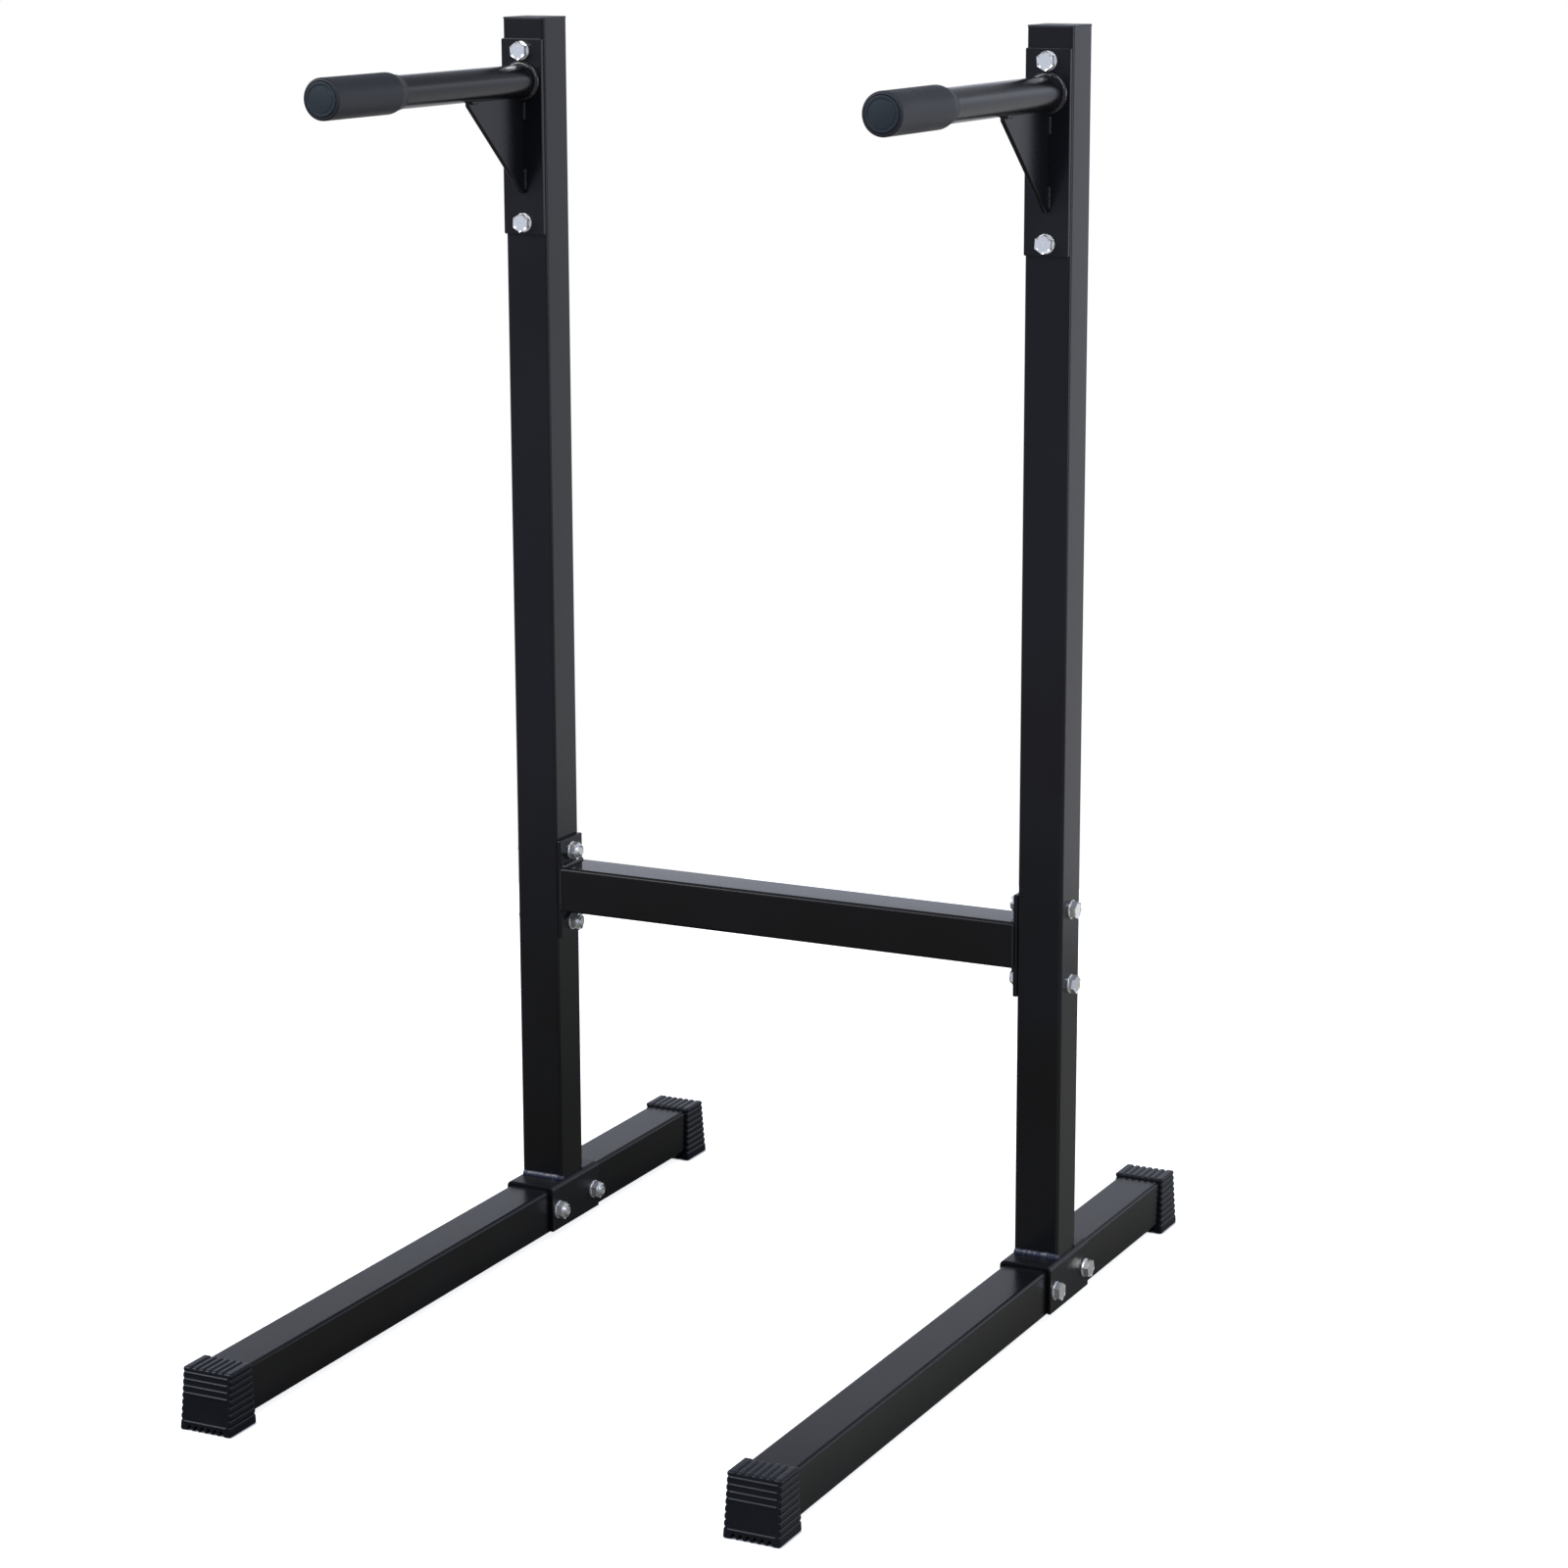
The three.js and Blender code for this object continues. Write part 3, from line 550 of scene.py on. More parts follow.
class DIPSTATION_OT_saddles(bpy.types.Operator):
    """Make the bent saddles that join the uprights to the feet"""

    bl_idname = "dip_station.saddles"
    bl_label = "Saddles"

    def execute(self, context):
        sizes = context.scene.dip_station_sizes
        for side in SIDES:
            node = f"{side}_saddle"
            bm = block(*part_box(node))
            turn_outwards(bm)
            open_faces = [f for f in bm.faces if f.normal.z < -ALONG or abs(f.normal.y) > ALONG]
            bmesh.ops.delete(bm, geom=open_faces, context="FACES")
            bevel(bm, [e for e in bm.edges if len(e.link_faces) == 2], sizes.saddle_bend, 8)
            bmesh.ops.solidify(bm, geom=bm.faces[:], thickness=sizes.saddle_wall)
            break_edges(bm, sizes.edge_break)
            add_painted(node, bm, "Saddle Paint")
        return {"FINISHED"}


class DIPSTATION_OT_top_plugs(bpy.types.Operator):
    """Make the square plugs in the tops of the uprights"""

    bl_idname = "dip_station.top_plugs"
    bl_label = "Top Plugs"

    def execute(self, context):
        sizes = context.scene.dip_station_sizes
        lid, rounding, slack = sizes.lid_thickness, 0.8 * MM, 0.3 * MM
        for side in SIDES:
            node = f"{side}_top_plug"
            low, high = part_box(node)
            width = high.x - low.x
            bore = size_of(f"{side}_upright_tube", 0) - 2 * sizes.tube_wall
            bm = rounded_square(width, sizes.tube_corner + 0.4 * MM)
            raise_faces(bm, bm.faces[:], (0, 0, lid))
            turn_outwards(bm)
            bevel(bm, {e for f in bm.faces if f.normal.z > ALONG for e in f.edges}, rounding, 4)
            under = [f for f in bm.faces if f.normal.z < -ALONG]
            inset(bm, under, (width - bore) / 2 + slack)
            raise_faces(bm, under, (0, 0, low.z + lid - high.z))
            centre = ((low.x + high.x) / 2, (low.y + high.y) / 2, high.z - lid)
            place(bm, Matrix.Translation(centre))
            add_moulded(node, bm, "Plug Plastic")
        return {"FINISHED"}


# ---- foot caps

# Planes that cut each groove, in pitches from the groove's middle.
TOP_CUTS = (-0.26, -0.21, -0.16, -0.11, -0.06, 0.06, 0.11, 0.16, 0.21, 0.26)
SIDE_CUTS = (-0.4, -0.28, -0.17, -0.09, -0.04, 0.0, 0.04, 0.09, 0.17, 0.28, 0.4, 0.5)
SOLE_CUTS = (
    -0.43, -0.36, -0.31, -0.285, -0.275, -0.25, -0.2, -0.1, 0.0,
    0.1, 0.2, 0.25, 0.275, 0.285, 0.31, 0.36, 0.43,
)
CROSS_RIBS = 7
SIDE_RIBS = 9


def rib_places(start, end, ribs, offsets):
    """Planes that cut a run of ribs: a few on each side of every groove's middle."""
    pitch = (end - start) / ribs
    return [start + (groove + offset) * pitch for groove in range(1, ribs) for offset in offsets]


def groove_share(value, start, end, ribs):
    """Distance from the nearest groove's middle, in pitches; 0.5 beyond the outer ribs."""
    at = (value - start) / (end - start) * ribs
    nearest = min(max(round(at), 1), ribs - 1)
    return min(abs(at - nearest), 0.5)


def top_groove(share, half_width=0.26, flat=0.06):
    """Depth of a groove on the top: 1 on its flat floor, 0 on the rib."""
    if share >= half_width:
        return 0.0
    run = max(0.0, share - flat) / (half_width - flat)
    return 1.0 - run * run * (3.0 - 2.0 * run)


def side_groove(share):
    """Depth beside a half-round rib on a side: 1 in the valley, 0 on the crest."""
    return 1.0 - math.sqrt(max(0.0, 1.0 - (1.0 - 2.0 * share) ** 2))


def sole_groove(share, wall=0.28, foot=0.3):
    """Depth of a round-topped pocket between two round ribs of the sole."""
    if share > wall:
        run = (0.5 - share) / (0.5 - wall)
        return foot * (1.0 - math.sqrt(max(0.0, 1.0 - run * run)))
    run = share / wall
    return foot + (1.0 - foot) * math.sqrt(max(0.0, 1.0 - run * run))


def cut_region(bm, picks, places, axis):
    """Cuts the faces that picks() chooses with planes square to an axis."""
    normal = AXES[axis]
    for where in places:
        faces = [f for f in bm.faces if picks(f.calc_center_median())]
        edges = {e for f in faces for e in f.edges}
        verts = {v for f in faces for v in f.verts}
        geom = [*faces, *edges, *verts]
        bmesh.ops.bisect_plane(bm, geom=geom, plane_co=normal * where, plane_no=normal, dist=1e-6)


class CapShape:
    """Plain sizes of a foot cap; its origin is under the tube's end, its outer end at +Y."""

    end = 5.3 * MM
    mouth = -32 * MM
    side_flare = 1.3 * MM
    end_flare = 7 * MM
    mouth_flare = 3 * MM
    socket_floor = 10.2 * MM
    rib_pitch = 6.8 * MM
    sole_line = 9.2 * MM

    def __init__(self, sizes, tube_width):
        self.corner = sizes.cap_corner
        self.width = tube_width + 6.6 * MM
        self.height = tube_width + 13.6 * MM
        self.socket = tube_width + 0.2 * MM
        self.first_valley = self.height - 5.3 * MM

    def drop(self, z):
        return 1.0 - z / self.height

    def end_at(self, z):
        return self.end + self.end_flare * self.drop(z)

    def mouth_at(self, z):
        return self.mouth - self.mouth_flare * self.drop(z)

    def side_at(self, z):
        return self.width / 2 + self.side_flare * self.drop(z)

    def is_upright(self, z, slack=0.0):
        """Whether a height lies between the round edges of the sole and the top."""
        return self.corner - slack < z < self.height - self.corner + slack


def cap_body(cap):
    """Flared block with round edges and a socket for the tube."""
    half, half_socket = cap.width / 2, cap.socket / 2
    bm = block(Vector((-half, cap.mouth, 0)), Vector((half, cap.end, cap.height)))
    for v in bm.verts:
        flared = cap.end_at if v.co.y > 0 else cap.mouth_at
        v.co = (math.copysign(cap.side_at(v.co.z), v.co.x), flared(v.co.z), v.co.z)
    bevel(bm, bm.edges, cap.corner, 5)
    turn_outwards(bm)
    rear = [f for f in bm.faces if f.normal.y < -ALONG]
    mouth = max(rear, key=bmesh.types.BMFace.calc_area)
    inset(bm, [mouth], 1 * MM)
    middle = cap.socket_floor + half_socket
    for v in mouth.verts:
        z = middle + math.copysign(half_socket, v.co.z - middle)
        v.co = (math.copysign(half_socket, v.co.x), cap.mouth_at(z), z)
    floor = raise_faces(bm, [mouth], (0, 0, 0))
    for v in {v for f in floor for v in f.verts}:
        v.co.y = 0.1 * MM
    return bm


def cap_end_lines(bm, cap, sizes):
    """Raised lines and a sunk panel on the sloping outer end."""
    half, line_half = cap.width / 2 - 3.2 * MM, 1.25 * MM
    lines = [cap.first_valley - cap.rib_pitch * i for i in range(4)] + [cap.sole_line]
    panel = (cap.sole_line + 1.3 * MM, lines[3] - 1.6 * MM)

    def on_end(c):
        return c.y > cap.end_at(c.z) - 0.3 * MM and cap.is_upright(c.z)

    def on_field(c):
        return on_end(c) and abs(c.x) < half

    def band(low, high):
        centres = [(f, f.calc_center_median()) for f in bm.faces]
        return [f for f, c in centres if on_field(c) and low < c.z < high]

    cut_region(bm, on_end, (-half, half), 0)
    cuts = [z + s * line_half for z in lines for s in (-1, 1)]
    cut_region(bm, on_field, sorted([*cuts, *panel]), 2)
    for z in lines:
        line = band(z - line_half, z + line_half)
        for rise in (0.4, 0.36, 0.24):
            inset(bm, line, 0.36 * MM, rise * sizes.cap_line)
            crest = list({v for f in line for v in f.verts})
            bmesh.ops.translate(bm, verts=crest, vec=(0, 0, -0.2 * MM))
    inset(bm, band(*panel), 0.7 * MM, -sizes.cap_panel)


def cap_ribs(bm, cap, sizes):
    """Grooves the top, both sides and the sole."""
    corner, slack = cap.corner, 0.05 * MM
    across = (-cap.width / 2 + corner, cap.width / 2 - corner, CROSS_RIBS)
    lowest = cap.first_valley - (SIDE_RIBS - 1) * cap.rib_pitch
    upward = (lowest, cap.first_valley + cap.rib_pitch, SIDE_RIBS)

    def in_socket(co):
        low, high = cap.socket_floor - slack, cap.socket_floor + cap.socket + slack
        in_width = abs(co.x) < cap.socket / 2 + slack
        return in_width and low < co.z < high and co.y > cap.mouth_at(co.z) - slack

    def on_side(c):
        return abs(c.x) > cap.side_at(c.z) - corner and cap.is_upright(c.z)

    cut_region(bm, lambda c: c.z > cap.height - corner, rib_places(*across, TOP_CUTS), 0)
    cut_region(bm, on_side, rib_places(*upward, SIDE_CUTS), 2)
    cut_region(bm, lambda c: c.z < corner, rib_places(*across, SOLE_CUTS), 0)
    bm.normal_update()
    moves = []
    for v in bm.verts:
        co = v.co
        in_ribs = abs(co.x) < across[1] + slack
        if in_socket(co):
            continue
        if co.z > cap.height - corner + slack and in_ribs:
            depth = top_groove(groove_share(co.x, *across))
            moves.append((v, -v.normal * depth * sizes.cap_top_groove))
        elif abs(co.x) > cap.side_at(co.z) - corner + slack and cap.is_upright(co.z, slack):
            depth = side_groove(groove_share(co.z, *upward))
            moves.append((v, -v.normal * depth * sizes.cap_side_groove))
        elif co.z < corner + slack and in_ribs:
            depth = sole_groove(groove_share(co.x, *across)) * sizes.cap_sole_groove
            lean = cap.end_flare if co.y > 0 else -cap.mouth_flare
            moves.append((v, Vector((0, -lean / cap.height * depth, depth))))
    for v, move in moves:
        v.co += move


class DIPSTATION_OT_foot_caps(bpy.types.Operator):
    """Make the ribbed rubber caps on the ends of the feet"""

    bl_idname = "dip_station.foot_caps"
    bl_label = "Foot Caps"

    def execute(self, context):
        sizes = context.scene.dip_station_sizes
        for side in SIDES:
            low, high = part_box(f"{side}_foot_tube")
            cap = CapShape(sizes, high.x - low.x)
            for end, y, turn in zip(ENDS, (low.y, high.y), (math.pi, 0.0)):
                bm = cap_body(cap)
                cap_end_lines(bm, cap, sizes)
                cap_ribs(bm, cap, sizes)
                where = Matrix.Translation(((low.x + high.x) / 2, y, 0))
                place(bm, where @ Matrix.Rotation(turn, 4, "Z"))
                add_moulded(f"{side}_{end}_foot_cap", bm, "Cap Rubber")
        return {"FINISHED"}


# ---- handles


class DIPSTATION_OT_handles(bpy.types.Operator):
    """Make the round handle tubes and the gussets under them"""

    bl_idname = "dip_station.handles"
    bl_label = "Handles"

    def execute(self, context):
        sizes = context.scene.dip_station_sizes
        for side in SIDES:
            node = f"{side}_handle_tube"
            radius, length = size_of(node, 0) / 2, size_of(node, 1)
            bore = radius - sizes.handle_wall
            bm = turned([(radius, 0), (radius, length), (bore, length), (bore, 0), (radius, 0)])
            place(bm, facing(FORWARD, middle_at(node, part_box(node)[1].y)))
            add_painted(node, bm, "Satin Paint")
            self.make_gusset(f"{side}_handle_gusset", sizes)
        return {"FINISHED"}

    def make_gusset(self, node, sizes):
        low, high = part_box(node)
        blunt = sizes.gusset_blunt
        top = high.z + 0.5 * MM
        corners = (
            (high.y, top), (low.y, top), (low.y, high.z - blunt), (high.y - blunt, low.z),
            (high.y, low.z),
        )
        bm = bmesh.new()
        outline = bm.faces.new([bm.verts.new((low.x, y, z)) for y, z in corners])
        raise_faces(bm, [outline], (high.x - low.x, 0, 0))
        turn_outwards(bm)
        break_edges(bm, sizes.edge_break, GUSSET_ANGLE)
        add_painted(node, bm, "Plate Paint")


class DIPSTATION_OT_grips(bpy.types.Operator):
    """Make the rubber sleeves on the handles and the plugs in their ends"""

    bl_idname = "dip_station.grips"
    bl_label = "Grips"

    def execute(self, context):
        sizes = context.scene.dip_station_sizes
        for side in SIDES:
            tube = f"{side}_handle_tube"
            self.make_sleeve(f"{side}_grip_sleeve", size_of(tube, 0) / 2, sizes)
            self.make_plug(f"{side}_grip_plug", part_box(tube)[0].y)
        return {"FINISHED"}

    def make_sleeve(self, node, bore, sizes):
        """A sleeve from its rim at 0 up to its tapered inner end."""
        radius, length = size_of(node, 0) / 2, size_of(node, 1)
        rim, taper = sizes.grip_rim, length - sizes.grip_taper
        lip, recess, rest, chamfer = bore + 1.1 * MM, 17.7 * MM, 2.6 * MM, 0.4 * MM
        snug = bore + 0.05 * MM

        def slope(i, steps=12):
            fall = 0.5 - 0.5 * math.cos(math.pi * i / steps)
            rise = (sizes.grip_taper + 1.2 * MM) * i / steps
            return radius - (radius - lip) * fall, taper - 2 * MM + rise

        profile = [
            (recess, chamfer), (recess + chamfer, 0),
            *arc((radius - rim, rim), rim, -90, 0, 8),
            (radius, taper - 4 * MM),
            *map(slope, range(13)),
            (lip - 0.3 * MM, length - 0.2 * MM), (bore + 0.3 * MM, length),
            (snug, length - chamfer), (snug, rest), (recess, rest), (recess, chamfer),
        ]
        bm = turned(profile)
        place(bm, facing((0, 1, 0), middle_at(node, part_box(node)[0].y)))
        add_moulded(node, bm, "Grip Rubber")

    def make_plug(self, node, tube_end):
        """A plug with its flange on the tube's end at 0, a domed head and a stem below."""
        low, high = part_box(node)
        dome, edge, stem = 0.6 * MM, 1.1 * MM, 14 * MM
        head = (tube_end - low.y) - dome
        radius, depth = size_of(node, 0) / 2, -(high.y - tube_end)
        groove = head - 0.35 * MM
        profile = [
            (0, head + dome), (6 * MM, head + 0.52 * MM), (11 * MM, head + 0.28 * MM),
            (13.2 * MM, head + 0.1 * MM), (13.6 * MM, groove), (14.2 * MM, groove),
            (14.6 * MM, head), *arc((radius - edge, head - edge), edge, 90, 0, 6),
            (radius, 0), (stem, 0), (stem, depth), (0, depth),
        ]
        bm = turned(profile)
        place(bm, facing(FORWARD, middle_at(node, tube_end)))
        add_moulded(node, bm, "Grip Plug Plastic")


# ---- fasteners

# Joint, fastener, and the turns of its bolt and its nut as shares of a flat.
FASTENERS = (
    ("handle", "upper", 0.06, 0.4),
    ("handle", "lower", 0.94, 0.1),
    ("crossbar", "upper", 0.62, 0.15),
    ("crossbar", "lower", 0.3, 0.7),
    ("saddle", "front", 0.5, 0.35),
    ("saddle", "rear", 0.78, 0.55),
)
FLAT_TURN = math.radians(60)
CHAMFER = math.tan(math.radians(28))
HEAD_HEIGHT = 6.4 * MM
HEX_HEIGHT, COLLAR_HEIGHT, COLLAR_RADIUS = 7 * MM, 2.6 * MM, 7.4 * MM
NUT_TOP = HEX_HEIGHT + COLLAR_HEIGHT


def fasteners(kind):
    """Node, outward direction and turn of each bolt or nut.

    Heads of the handle bolts face the front, the others face outwards, and nuts face them.
    """
    for side in SIDES:
        for joint, name, bolt_turn, nut_turn in FASTENERS:
            outward = (-1 if side == "left" else 1, 0, 0)
            direction, turn = Vector(FORWARD if joint == "handle" else outward), bolt_turn
            if kind == "nut":
                direction, turn = -direction, nut_turn
            yield f"{side}_{joint}_{kind}_{name}", direction, turn * FLAT_TURN


def end_along(node, direction):
    """Middle of the face of a CAD node's box that a direction points at."""
    low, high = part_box(node)
    half = (high - low) / 2
    return (low + high) / 2 + Vector(d * h for d, h in zip(direction, half))


def hexagon(across, height, chamfer_both=False):
    """Hexagon from the ground plane up, with a cone's chamfer at the top and maybe below."""
    circle = across / 2 * 0.985
    corner = across / 2 / math.cos(math.pi / 6)
    bm = bmesh.new()
    bmesh.ops.create_circle(bm, cap_ends=True, segments=6, radius=corner)
    bmesh.ops.subdivide_edges(bm, edges=bm.edges[:], cuts=9)
    raise_faces(bm, bm.faces[:], (0, 0, height))
    turn_outwards(bm)
    ends = [f for f in bm.faces if f.normal.z > ALONG or chamfer_both and f.normal.z < -ALONG]
    for face in ends:
        out = 1.0 if face.normal.z > 0 else -1.0
        rim = list(face.verts)
        bmesh.ops.inset_region(bm, faces=[face], thickness=0.05 * MM)
        for v in rim:
            v.co.z -= out * max(0.0, v.co.xy.length - circle) * CHAMFER
        for v in face.verts:
            v.co.xy = v.co.xy.normalized() * circle
    return bm


def bolt(sizes, length):
    """Hexagon bolt: the washer's top is at 0, the head above it and the shank below."""
    radius = sizes.bolt_diameter / 2
    bm = hexagon(sizes.hex_across, HEAD_HEIGHT)
    turn_outwards(bm)
    crown = max((f for f in bm.faces if f.normal.z > ALONG), key=bmesh.types.BMFace.calc_area)
    inset(bm, [crown], 1.1 * MM)
    inset(bm, [crown], 0.35 * MM, -0.22 * MM)
    root = radius - 0.7 * MM
    profile = [(0, -length), (root - 0.3 * MM, -length), (radius - 0.1 * MM, -length + 0.9 * MM)]
    for i in range(7):
        z = -length + 1.1 * MM + 1.5 * MM * i
        profile += [(radius, z + 0.15 * MM), (root, z + 0.75 * MM), (radius, z + 1.35 * MM)]
    profile += [(radius, 0.2 * MM), (0, 0.2 * MM)]
    join_into(bm, turned(profile, 32))
    return bm


def washer(sizes):
    """Flat washer from 0 down, with rolled edges and a bore round the shank."""
    outer, thick, edge = sizes.washer_radius, sizes.washer_thickness, 0.35 * MM
    bore = sizes.bolt_diameter / 2 + 0.25 * MM
    profile = [
        (bore, -edge), (bore + edge, 0),
        *arc((outer - edge, -edge), edge, 90, 0, 4),
        *arc((outer - edge, edge - thick), edge, 0, -90, 4),
        (bore + edge, -thick), (bore, -thick + edge), (bore, -edge),
    ]
    return turned(profile, 64)


def lock_nut(sizes):
    """Lock nut on the ground plane: the hexagon, and the rolled collar that holds the ring."""
    bm = hexagon(sizes.hex_across, HEX_HEIGHT, True)
    radius = sizes.bolt_diameter / 2
    bore, mouth, edge = radius + 0.1 * MM, radius + 1.3 * MM, 1.1 * MM
    foot, seat = HEX_HEIGHT - 0.5 * MM, NUT_TOP - 0.8 * MM
    profile = [
        (bore, foot), (COLLAR_RADIUS + 0.5 * MM, foot),
        (COLLAR_RADIUS + 0.1 * MM, HEX_HEIGHT + 0.3 * MM),
        *arc((COLLAR_RADIUS - edge, NUT_TOP - edge), edge, 0, 90, 6),
        (mouth + 0.2 * MM, NUT_TOP), (mouth, NUT_TOP - 0.3 * MM), (mouth, seat), (bore, seat),
        (bore, foot),
    ]
    join_into(bm, turned(profile, 64))
    return bm


def lock_ring(sizes):
    """Nylon ring inside a lock nut's collar."""
    radius = sizes.bolt_diameter / 2
    bore, outer = radius - 0.2 * MM, radius + 1.25 * MM
    lip, foot = NUT_TOP - 0.7 * MM, NUT_TOP - 1.2 * MM
    profile = [
        (bore, lip), (radius + 0.4 * MM, NUT_TOP - 0.3 * MM), (outer, NUT_TOP - 0.35 * MM),
        (outer, foot), (bore, foot), (bore, lip),
    ]
    return turned(profile, 48)


class DIPSTATION_OT_bolts(bpy.types.Operator):
    """Make the hexagon bolts and the washers under their heads"""

    bl_idname = "dip_station.bolts"
    bl_label = "Bolts"

    def execute(self, context):
        sizes = context.scene.dip_station_sizes
        for node, outward, turn in fasteners("bolt"):
            seat = end_along(node, outward) - outward * HEAD_HEIGHT
            bm = bolt(sizes, (seat - end_along(node, -outward)).length)
            place(bm, facing(outward, seat, turn))
            add_piece(f"{node}_plated", bm, "Bright Zinc", (node,))
            ring = washer(sizes)
            place(ring, facing(outward, seat))
            add_piece(f"{node}_washer", ring, "Bright Zinc")
        return {"FINISHED"}


class DIPSTATION_OT_nuts(bpy.types.Operator):
    """Make the lock nuts, their locking rings and the washers under them"""

    bl_idname = "dip_station.nuts"
    bl_label = "Lock Nuts"

    def execute(self, context):
        sizes = context.scene.dip_station_sizes
        for node, outward, turn in fasteners("nut"):
            seat = end_along(node, outward) - outward * NUT_TOP
            pieces = (
                ("plated", lock_nut(sizes), "Bright Zinc", (node,)),
                ("washer", washer(sizes), "Bright Zinc", ()),
                ("ring", lock_ring(sizes), "Nylon Ring", ()),
            )
            for ending, bm, finish, nodes in pieces:
                place(bm, facing(outward, seat, turn))
                add_piece(f"{node}_{ending}", bm, finish, nodes)
        return {"FINISHED"}


# ---- welds


def ripple(bm, along, centre_of, pitch, share, seed):
    """Gives a plain bead the overlapping ripples and uneven width of a hand weld."""
    for v in bm.verts:
        middle = centre_of(v.co)
        out = v.co - middle
        run = along(v.co)
        stray = noise.noise(Vector((run / (4 * pitch), seed, 5.0)))
        wave = math.cos(2 * math.pi * (run / pitch + 0.7 * stray))
        lump = noise.noise(Vector((run / (1.3 * pitch), seed, 0.0)))
        grit = noise.noise(v.co * 700 + Vector((0, 0, seed)))
        v.co = middle + out * (1 + share * (0.12 * wave + 0.9 * lump + 0.9 * grit))


def straight_bead(start, end, leg, seed, pitch=3.6 * MM, share=0.15):
    """Weld bead between two points, round in section with closed, rounded ends."""
    start, end = Vector(start), Vector(end)
    length = (end - start).length
    bm = bmesh.new()
    bmesh.ops.create_cone(bm, cap_ends=True, segments=20, radius1=leg, radius2=leg, depth=length)
    bmesh.ops.translate(bm, verts=bm.verts[:], vec=(0, 0, length / 2))
    long_edges = [e for e in bm.edges if abs(e.verts[0].co.z - e.verts[1].co.z) > length / 2]
    bmesh.ops.subdivide_edges(bm, edges=long_edges, cuts=max(8, int(length / (0.6 * MM))))
    for v in bm.verts:
        near = min(v.co.z, length - v.co.z)
        v.co.xy *= math.sqrt(max(0.06, 1 - max(0.0, 1 - near / (0.9 * leg)) ** 2))
    ripple(bm, lambda co: co.z, lambda co: Vector((0, 0, co.z)), pitch, share, seed)
    place(bm, facing((end - start).normalized(), start))
    return bm


def ring_bead(centre, radius, leg, seed, ripples=26, share=0.08):
    """Weld bead once round a tube that points forward."""
    bm = bmesh.new()
    upright = Matrix.Translation((radius, 0, 0)) @ Matrix.Rotation(math.pi / 2, 4, "X")
    bmesh.ops.create_circle(bm, segments=18, radius=leg, matrix=upright)
    spin_round(bm, 168)

    def along(co):
        return math.atan2(co.y, co.x) * radius

    def middle(co):
        return Vector((co.x, co.y, 0)).normalized() * radius

    ripple(bm, along, middle, 2 * math.pi * radius / ripples, share, seed)
    place(bm, facing(FORWARD, centre))
    return bm


class DIPSTATION_OT_welds(bpy.types.Operator):
    """Make the weld beads of the uprights, the crossbar, the handles and the gussets"""

    bl_idname = "dip_station.welds"
    bl_label = "Weld Beads"

    def execute(self, context):
        leg = context.scene.dip_station_sizes.weld_leg
        for index, side in enumerate(SIDES):
            self.weld_upright(side, leg * 1.7, 3.0 * index)
            self.weld_crossbar(side, leg * 0.8, 20.0 + 3.0 * index)
            self.weld_handle(side, leg, 40.0 + 3.0 * index)
        return {"FINISHED"}

    def finish(self, name, beads, paint="Weld Paint"):
        bm = bmesh.new()
        for bead in beads:
            join_into(bm, bead)
        add_piece(name, bm, paint, weighted=False)

    def weld_upright(self, side, leg, seed):
        """Beads with steep faces, low over the saddle, with roots that stay inside the walls."""
        low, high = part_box(f"{side}_upright_tube")
        beads = []
        for face, inward, shift in ((low.y, 1, 1), (high.y, -1, 2)):
            y = face + inward * 0.6 * leg
            ends = (low.x - 1 * MM, y, low.z), (high.x + 1 * MM, y, low.z)
            bead = straight_bead(*ends, leg, seed + shift, pitch=5.5 * MM, share=0.09)
            for v in bead.verts:
                if (v.co.y - y) * inward > 0:
                    v.co.y = y + 0.2 * (v.co.y - y)
                if v.co.z < low.z:
                    v.co.z = low.z + 0.4 * (v.co.z - low.z)
            beads.append(bead)
        # The navy paint of these beads is painted reflection.
        self.finish(f"{side}_upright_weld", beads, "Foot Weld Paint With Painted Reflection")

    def weld_crossbar(self, side, leg, seed):
        """Four beads round the end of the bar, a thin one in front."""
        low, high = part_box("crossbar_tube")
        x = low.x if side == "left" else high.x
        gap = 2 * MM
        runs = (
            (leg * 0.35, (low.y, low.z + gap), (low.y, high.z - gap)),
            (leg, (low.y + gap, high.z), (high.y - gap, high.z)),
            (leg, (high.y, high.z - gap), (high.y, low.z + gap)),
            (leg, (high.y - gap, low.z), (low.y + gap, low.z)),
        )
        beads = [
            straight_bead((x, *start), (x, *end), width, seed + 2 * i)
            for i, (width, start, end) in enumerate(runs)
        ]
        self.finish(f"{side}_crossbar_weld", beads)

    def weld_handle(self, side, leg, seed):
        """A ring round the handle tube, and short beads beside the gusset."""
        tube = f"{side}_handle_tube"
        low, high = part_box(tube)
        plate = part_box(f"{side}_handle_plate")[0].y
        radius = (high.x - low.x) / 2 + 0.6 * MM
        ring = ring_bead(middle_at(tube, plate), radius, leg, seed)
        self.finish(f"{side}_handle_weld", [ring])
        low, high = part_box(f"{side}_handle_gusset")
        upper = (high.z - 4 * MM, high.z - 24 * MM)
        lower = (low.z + 26 * MM, low.z + 3 * MM)
        beads = []
        for x in (low.x, high.x):
            for top, bottom in (upper, lower):
                ends = (x, plate, top), (x, plate, bottom)
                beads.append(straight_bead(*ends, leg * 0.55, seed + top * 50 + x))
            ends = (x, low.y + 2 * MM, high.z), (x, low.y + 18 * MM, high.z)
            beads.append(straight_bead(*ends, leg * 0.5, seed + x))
        self.finish(f"{side}_gusset_weld", beads, "Plate Paint")


# ---- studio

